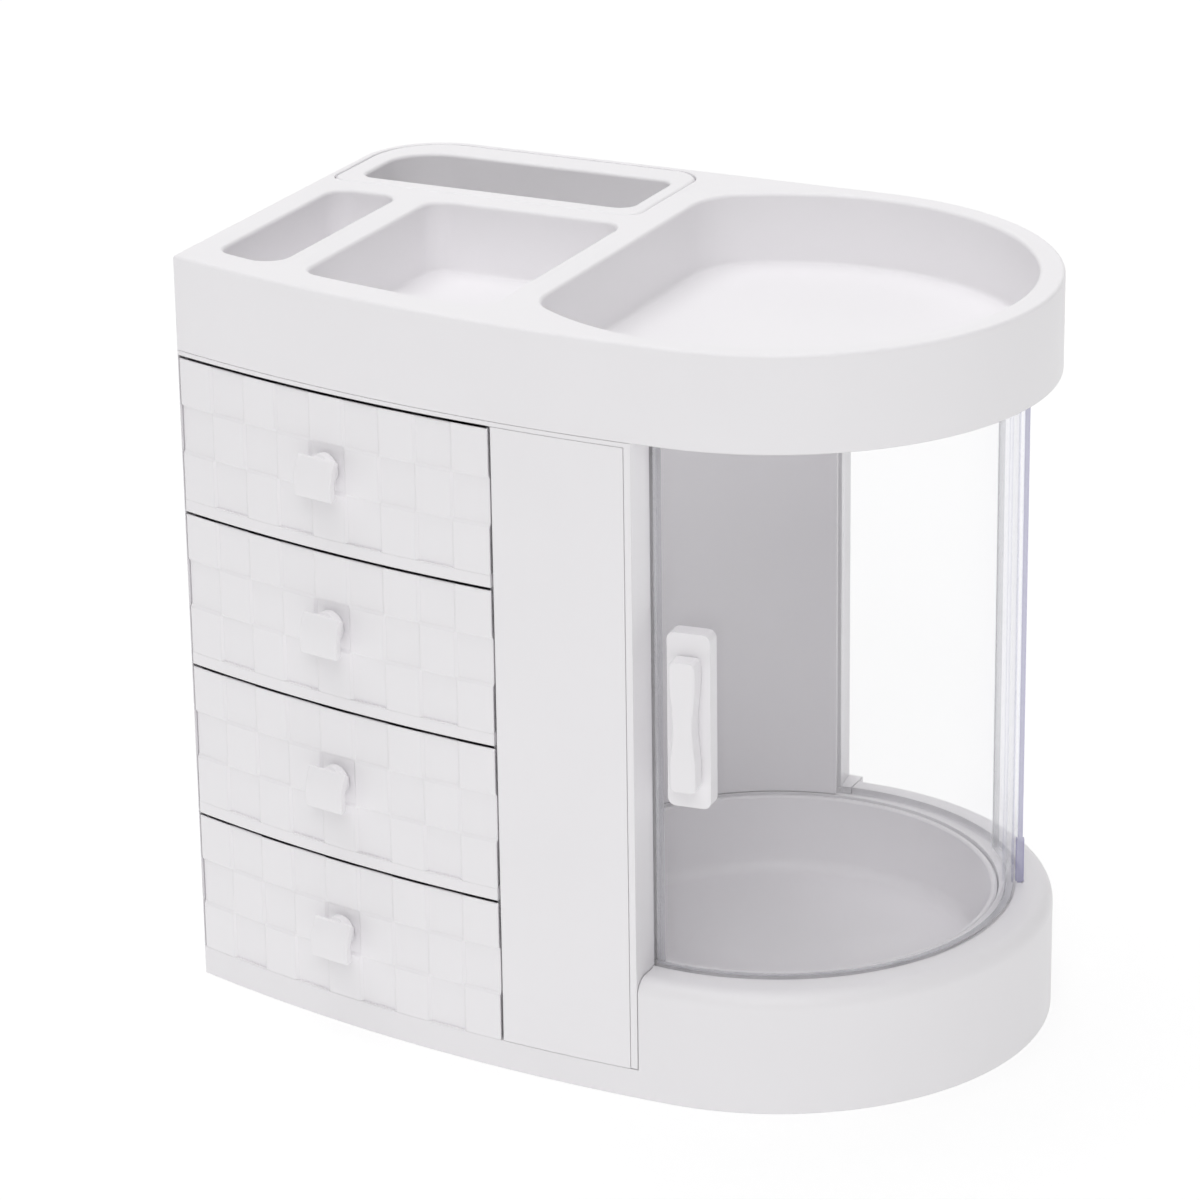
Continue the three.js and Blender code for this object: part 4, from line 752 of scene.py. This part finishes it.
def bowl_profile():
    """(radius, z) from the axis under the bowl, up its outside and back over its floor."""
    turn, low = BOWL_FLOOR + BOWL_ROUND, BOWL_TOP - BOWL_EDGE
    outside = [(0, BOWL_BOTTOM), (SPINDLE_HOLE, BOWL_BOTTOM), (SPINDLE_HOLE, HUB_BOTTOM),
               (HUB_OUT, HUB_BOTTOM), (HUB_OUT, BOWL_BOTTOM), (BOWL_OUT, BOWL_BOTTOM),
               (BOWL_OUT, low), (BOWL_OUT - BOWL_EDGE, BOWL_TOP)]
    inside = [(BOWL_IN + BOWL_EDGE, BOWL_TOP), (BOWL_IN, low), (BOWL_IN, turn)]
    curve = [(BOWL_IN - BOWL_ROUND * (1 - math.cos(a)), turn - BOWL_ROUND * math.sin(a))
             for a in (math.pi / 2 * i / BOWL_STEPS for i in range(1, BOWL_STEPS))]
    return outside + inside + curve + [(BOWL_IN - BOWL_ROUND, BOWL_FLOOR), (0, BOWL_FLOOR)]


# The bowl wears the lighter copy of the white: painted light in the dim compartment.
finish_piece(lathe(bowl_profile()), "turntable_bowl_fine", inner_white_painted_light, "turntable",
             ["turntable_bowl"])


# Tray and bin

TRAY_ROUND, POCKET_ROUND, POCKET_FOOT, BIN_FOOT = 1.2, 1.25, 1.4, 1.5
NARROW, MIDDLE = (160.5, 137.8), (126.5, 60.4)     # left and right of two compartments
WELL_ROUND, DEEP_ROUND = 0.6, 3                    # the bin's well, and the bin's deep end
HALFWAY = 0.3             # share of a two-step rounding at its middle
BIN_SHOULDER, BIN_FLOOR, BIN_WALL = TOP - 27.4, TOP - 96, 2
RIM_THICK = 4


def pocket_cutter(shape, floor, foot):
    """Cutter for a compartment with a rounded rim and foot; shape gives its outline by inset."""
    rings = [(shape(foot * (1 - math.sin(a))), floor + foot * (1 - math.cos(a)))
             for a in (math.pi / 2 * i / ROUNDING_STEPS for i in range(ROUNDING_STEPS + 1))]
    rings += [(shape(-inset), z) for inset, z in fillet_top(TOP, POCKET_ROUND)]
    rings.append((shape(-POCKET_ROUND), TOP + OVERRUN))
    return loft(rings)


def make_tray():
    shapes = [lambda i: bowed_pocket(*NARROW, i), lambda i: bowed_pocket(*MIDDLE, i), round_pocket]
    hollow = prism(outline(TRAY_WALL), CAB_TOP - OVERRUN, TRAY_FLOOR - TRAY_WALL)
    middle = HALFWAY * WELL_ROUND
    well = loft([(bin_outline(-SEAT - wider), z) for wider, z in
                 ((0, TRAY_BOTTOM - 2 * OVERRUN), (0, TOP - WELL_ROUND), (middle, TOP - middle),
                  (WELL_ROUND, TOP), (WELL_ROUND, TOP + OVERRUN))])
    return combine(with_round_top(CAB_TOP + SEAM, TOP, TRAY_ROUND), ("-", hollow), ("-", well),
                   *[("-", pocket_cutter(shape, TRAY_FLOOR, POCKET_FOOT)) for shape in shapes])


finish_piece(make_tray(), "top_tray_fine", white, "cabinet", ["top_tray"])


def make_bin():
    rim = loft([(bin_outline(0), TRAY_BOTTOM)]
               + [(bin_outline(i), z) for i, z in fillet_top(TOP, TRAY_ROUND)])
    hollow = prism(bin_outline(BIN_WALL), TRAY_BOTTOM - OVERRUN, TOP - RIM_THICK)
    upper_walls = prism(bin_cavity(BIN_UPPER_RIGHT, -BIN_WALL),
                        TRAY_BOTTOM - 2 * OVERRUN, TOP + OVERRUN)
    hollow = combine(hollow, ("-", upper_walls))
    lower = prism(bin_cavity(BIN_LOWER_RIGHT, -BIN_WALL),
                  BIN_FLOOR - BIN_WALL, BIN_SHOULDER + BIN_WALL)
    middle = HALFWAY * DEEP_ROUND
    inside = loft([(bin_cavity(BIN_LOWER_RIGHT, inset), z) for inset, z in
                   ((DEEP_ROUND, BIN_FLOOR), (middle, BIN_FLOOR + middle),
                    (0, BIN_FLOOR + DEEP_ROUND), (0, BIN_SHOULDER + OVERRUN))])
    upper = pocket_cutter(lambda i: bin_cavity(BIN_UPPER_RIGHT, i), BIN_SHOULDER, BIN_FOOT)
    return combine(rim, ("-", hollow), ("+", lower), ("-", upper), ("-", inside))


finish_piece(make_bin(), "brush_bin_fine", white, "bin", ["brush_bin"])


# Drawers

COLUMNS, ROWS = 9, 3
SQUARE_WIDTH, SQUARE_HEIGHT = (FRONT_LEFT - FRONT_RIGHT) / COLUMNS, FRONT_HEIGHT / ROWS
SLOPE = 0.6               # from a square's edge to where its slope ends
RIM = 0.45                # rounding of the front's own edges
RIM_BELOW = 0.3           # how much less of it the lower edge has
FOOT_STRETCH, SIDE_STRETCH = 0.38, 0.12            # of the lowest row and the left column
BACK_LEAN, BACK_SLANT = 3.2, 1.0                   # the front narrows towards its back
EVEN_FALL, EVEN_REACH = 0.38, 2                    # of the upper edge, where a square is sunk


def step_down(t):
    """Smooth fall from 1 to 0 as t goes from 0 to 1."""
    t = min(max(t, 0.0), 1.0)
    return 1 - t * t * (3 - 2 * t)


def grid_lines(step, count):
    """Places of the mesh lines across count squares: rims, slopes and squares."""
    total = count * step
    marks = {0.0, total}
    for share in (0.17, 0.5, 1):
        marks |= {share * RIM, total - share * RIM}
    for i in range(1, count):
        marks |= {i * step + share * SLOPE for share in (-1, -0.5, 0, 0.5, 1)}
    for i in range(count):
        marks |= {(i + share) * step for share in (0.3, 0.5, 0.7)}
    return sorted(marks)


def fade(share, size, first, last):
    """How far a point has left its square's level, 0.5 at the edge to the next square."""
    if (first and share < 0.5) or (last and share > 0.5):
        return 0.0
    return step_down(min(share, 1 - share) * size / SLOPE) * 0.5


def front_depth(u, v):
    """Depth of the checkered front behind the bow, u from its left and v from its bottom."""
    i, j = min(int(u / SQUARE_WIDTH), COLUMNS - 1), min(int(v / SQUARE_HEIGHT), ROWS - 1)
    level = 1.0 if (i + ROWS - 1 - j) % 2 == 0 else 0.0
    across = fade(u / SQUARE_WIDTH - i, SQUARE_WIDTH, i == 0, i == COLUMNS - 1)
    along = fade(v / SQUARE_HEIGHT - j, SQUARE_HEIGHT, j == 0, j == ROWS - 1)
    level += (1 - 2 * level) * (across + along - 2 * across * along)
    rim = min(u, COLUMNS * SQUARE_WIDTH - u, v + RIM_BELOW, ROWS * SQUARE_HEIGHT - v)
    round_off = 0.0
    if rim < RIM:
        round_off = RIM - math.sqrt(max(RIM ** 2 - (RIM - rim) ** 2, 0.0))
    return RELIEF * (1 - level) + round_off


def lowered(u, v):
    """Fall of the upper edge where it stands back, so the gap above it looks even."""
    top = ROWS * SQUARE_HEIGHT
    near = max(0.0, 1 - (top - v) / EVEN_REACH)
    return EVEN_FALL * near * (front_depth(u, top) - RIM)


def checker_front(n):
    """Drawer front with a checker of raised, soft-edged squares."""
    bottom = floor_of(n) + SLIDE

    def across(u):
        return -FRONT_LEFT + u - SIDE_STRETCH * max(0.0, 1 - u / SQUARE_WIDTH)

    def above(v):
        return bottom + v - FOOT_STRETCH * max(0.0, 1 - v / SQUARE_HEIGHT)

    us, vs = grid_lines(SQUARE_WIDTH, COLUMNS), grid_lines(SQUARE_HEIGHT, ROWS)
    verts, faces = [], []
    for v in vs:
        for u in us:
            x = across(u)
            verts.append((x, front_y(x, front_depth(u, v)), above(v) - lowered(u, v)))
    nu, nv = len(us), len(vs)
    for j in range(nv - 1):
        for i in range(nu - 1):
            a = j * nu + i
            faces.append((a, a + 1, a + 1 + nu, a + nu))
    back = len(verts)
    for v, fall in ((vs[0], 0.0), (vs[-1], BACK_LEAN)):
        for u in us:
            x = across(u) - BACK_SLANT * u / (COLUMNS * SQUARE_WIDTH)
            verts.append((x, front_y(x, FRONT_THICK), above(v) - fall))
    for i in range(nu - 1):
        faces.append((back + i + 1, back + i, back + nu + i, back + nu + i + 1))
        faces.append((back + i, back + i + 1, i + 1, i))
        faces.append(((nv - 1) * nu + i, (nv - 1) * nu + i + 1, back + nu + i + 1, back + nu + i))
    faces.append([back] + [j * nu for j in range(nv)] + [back + nu])
    faces.append([back + 2 * nu - 1] + [j * nu + nu - 1 for j in reversed(range(nv))]
                 + [back + nu - 1])
    return thing("front", mesh_of("front", verts, faces))


TAB_BEND, TAB_THICK, TAB_WIDE, TAB_TALL = 16.0, 2.6, 14.4, 13.5
TAB_UPPER = 0.7           # share of the tab's curve above its foremost line
STEM, NECK = 4.9, 4.0     # radii
NECK_END, STEM_START = 0.7, 0.95                   # distances from the front
STAND_OFF, KNOB_DROP = 6.6, 1.45
TAB_STEPS, STEM_STEPS, BEND_STEPS = 16, 40, 120


def knob(n):
    """Curved tab with soft corners on a round stem."""
    x = -(FRONT_LEFT + FRONT_RIGHT) / 2
    y = front_y(x, RELIEF - SEAT)
    z = floor_of(n) + SLIDE + FRONT_HEIGHT / 2
    turn = math.atan2(y - BOW_Y, x - BOW_X) + math.pi / 2
    sweep = TAB_TALL / TAB_BEND
    low, high = -sweep * (1 - TAB_UPPER), sweep * TAB_UPPER
    drop_z = TAB_BEND * (high + low) / 2 + KNOB_DROP
    shift = STAND_OFF + TAB_THICK / 2 - TAB_BEND
    profile = (arc(0, 0, TAB_BEND, low, high, TAB_STEPS)
               + arc(0, 0, TAB_BEND - TAB_THICK, high, low, TAB_STEPS))
    count = len(profile)
    verts = [(side, -(px + shift), pz - drop_z)
             for side in (-TAB_WIDE / 2, TAB_WIDE / 2) for px, pz in profile]
    faces = [(i, (i + 1) % count, (i + 1) % count + count, i + count) for i in range(count)]
    faces += [tuple(range(count))[::-1], tuple(range(count, 2 * count))]
    tab = bevelled(thing("tab", mesh_of("tab", verts, faces)), 1.1, 4, angle=50)

    neck, full = circle(NECK, STEM_STEPS), circle(STEM, STEM_STEPS)
    stem = loft([(neck, 0), (neck, NECK_END), (full, STEM_START), (full, STAND_OFF)])
    place_mesh(stem, turned(math.pi / 2, "X"))
    behind_tab = disc(TAB_BEND - TAB_THICK / 2, -TAB_WIDE, TAB_WIDE, n=BEND_STEPS)
    place_mesh(behind_tab, moved(0, -shift, -drop_z) @ turned(math.pi / 2, "Y"))
    whole = combine(stem, ("&", behind_tab), ("+", tab))
    place_mesh(whole, moved(x, y, z) @ turned(turn, "Z"))
    return whole


def drawer_box(n):
    low = floor_of(n) + SLIDE

    def box(wall, bottom, top):
        plan = drawer_plan(BOX_LEFT - wall, BOX_RIGHT + wall, FRONT_THICK + SEAT + wall,
                           BOX_BACK - wall, HOUSING_OUT + SLIDE + wall)
        return prism(plan, low + bottom, low + top)

    return combine(box(0, 0, BOX_HEIGHT), ("-", box(BOX_WALL, BOX_WALL, BOX_OPEN)))


for n in range(1, DRAWERS + 1):
    body = f"drawer_{n}"
    finish_piece(checker_front(n), f"{body}_front_fine", front_white, body, [f"{body}_front"],
                 angle=60)
    finish_piece(knob(n), f"{body}_knob_fine", white, body, [f"{body}_knob"],
                 angle=40)
    # The boxes wear the lighter copy of the white: painted light inside the drawers.
    finish_piece(drawer_box(n), f"{body}_box_fine", inner_white_painted_light, body, [f"{body}_box"],
                 bevel=(0.4, 2))


# CAD nodes that stay

def repaint(node, material):
    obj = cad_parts[node]
    obj.data.materials.clear()
    obj.data.materials.append(material)


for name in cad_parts:
    if name.startswith("foot_"):
        repaint(name, rubber)
    if "screw" in name or name == "turntable_spindle":
        repaint(name, steel)
repaint("back_panel", white)


# Stage, light and camera, in metres

HALF_STAGE = 6
corners = [(x * HALF_STAGE, y * HALF_STAGE, 0) for x, y in ((-1, -1), (1, -1), (1, 1), (-1, 1))]
stage_mesh = bpy.data.meshes.new("floor")
stage_mesh.from_pydata(corners, [], [(0, 1, 2, 3)])
floor = thing("floor", stage_mesh)
floor_white, _, shader = node_material("floor_white")
shader.inputs["Base Color"].default_value = (0.35, 0.35, 0.35, 1)
shader.inputs["Roughness"].default_value = 0.9
shader.inputs["Emission Color"].default_value = (1, 1, 1, 1)
shader.inputs["Emission Strength"].default_value = 0.68
floor.data.materials.append(floor_white)

# The studio is brighter towards one side, behind the part as the photograph sees it and above it.
BACKDROP = (-0.41, 0.84, 0.36)
world = bpy.data.worlds.new("studio")
world.use_nodes = True
tree = world.node_tree
sky = tree.nodes["Background"]
sky.inputs["Color"].default_value = (1, 1, 1, 1)
outward = tree.nodes.new("ShaderNodeTexCoord")
towards = tree.nodes.new("ShaderNodeVectorMath")
towards.operation = "DOT_PRODUCT"
towards.inputs[1].default_value = BACKDROP
backdrop = tree.nodes.new("ShaderNodeMapRange")
backdrop.interpolation_type = "SMOOTHSTEP"
for socket, value in (("From Min", 0.6), ("From Max", 0.95), ("To Min", 0.28), ("To Max", 0.85)):
    backdrop.inputs[socket].default_value = value
tree.links.new(outward.outputs["Generated"], towards.inputs[0])
tree.links.new(towards.outputs["Value"], backdrop.inputs["Value"])
tree.links.new(backdrop.outputs["Result"], sky.inputs["Strength"])
bpy.context.scene.world = world
bpy.context.scene.view_settings.view_transform = "Standard"
bpy.context.scene.view_settings.look = "None"


def soft_sun(name, strength, spread, heading):
    data = bpy.data.lights.new(name, "SUN")
    data.energy = strength
    data.angle = rad(spread)
    sun = bpy.data.objects.new(name, data)
    sun.rotation_euler = Vector(heading).to_track_quat("-Z", "Y").to_euler()
    bpy.context.scene.collection.objects.link(sun)


soft_sun("overhead", strength=1.35, spread=55, heading=(0.12, 0.05, -0.99))
soft_sun("front", strength=0.64, spread=32, heading=(-0.30, 0.67, -0.68))

EYE, TARGET = Vector((0.61035, -1.2722, 0.6612)), Vector((-0.02005, 0.0062, 0.1193))
CAMERA_ROLL = -0.84       # degrees
camera_data = bpy.data.cameras.new("camera")
camera_data.lens = 147.57
camera_data.sensor_width = 36
camera = bpy.data.objects.new("camera", camera_data)
bpy.context.scene.collection.objects.link(camera)
forward = (TARGET - EYE).normalized()
right = forward.cross(Vector((0, 0, 1))).normalized()
up = right.cross(forward)
cos_roll, sin_roll = math.cos(rad(CAMERA_ROLL)), math.sin(rad(CAMERA_ROLL))
right, up = right * cos_roll + up * sin_roll, up * cos_roll - right * sin_roll
pose = Matrix((right, up, -forward)).transposed().to_4x4()
pose.translation = EYE
camera.matrix_world = pose
bpy.context.scene.camera = camera
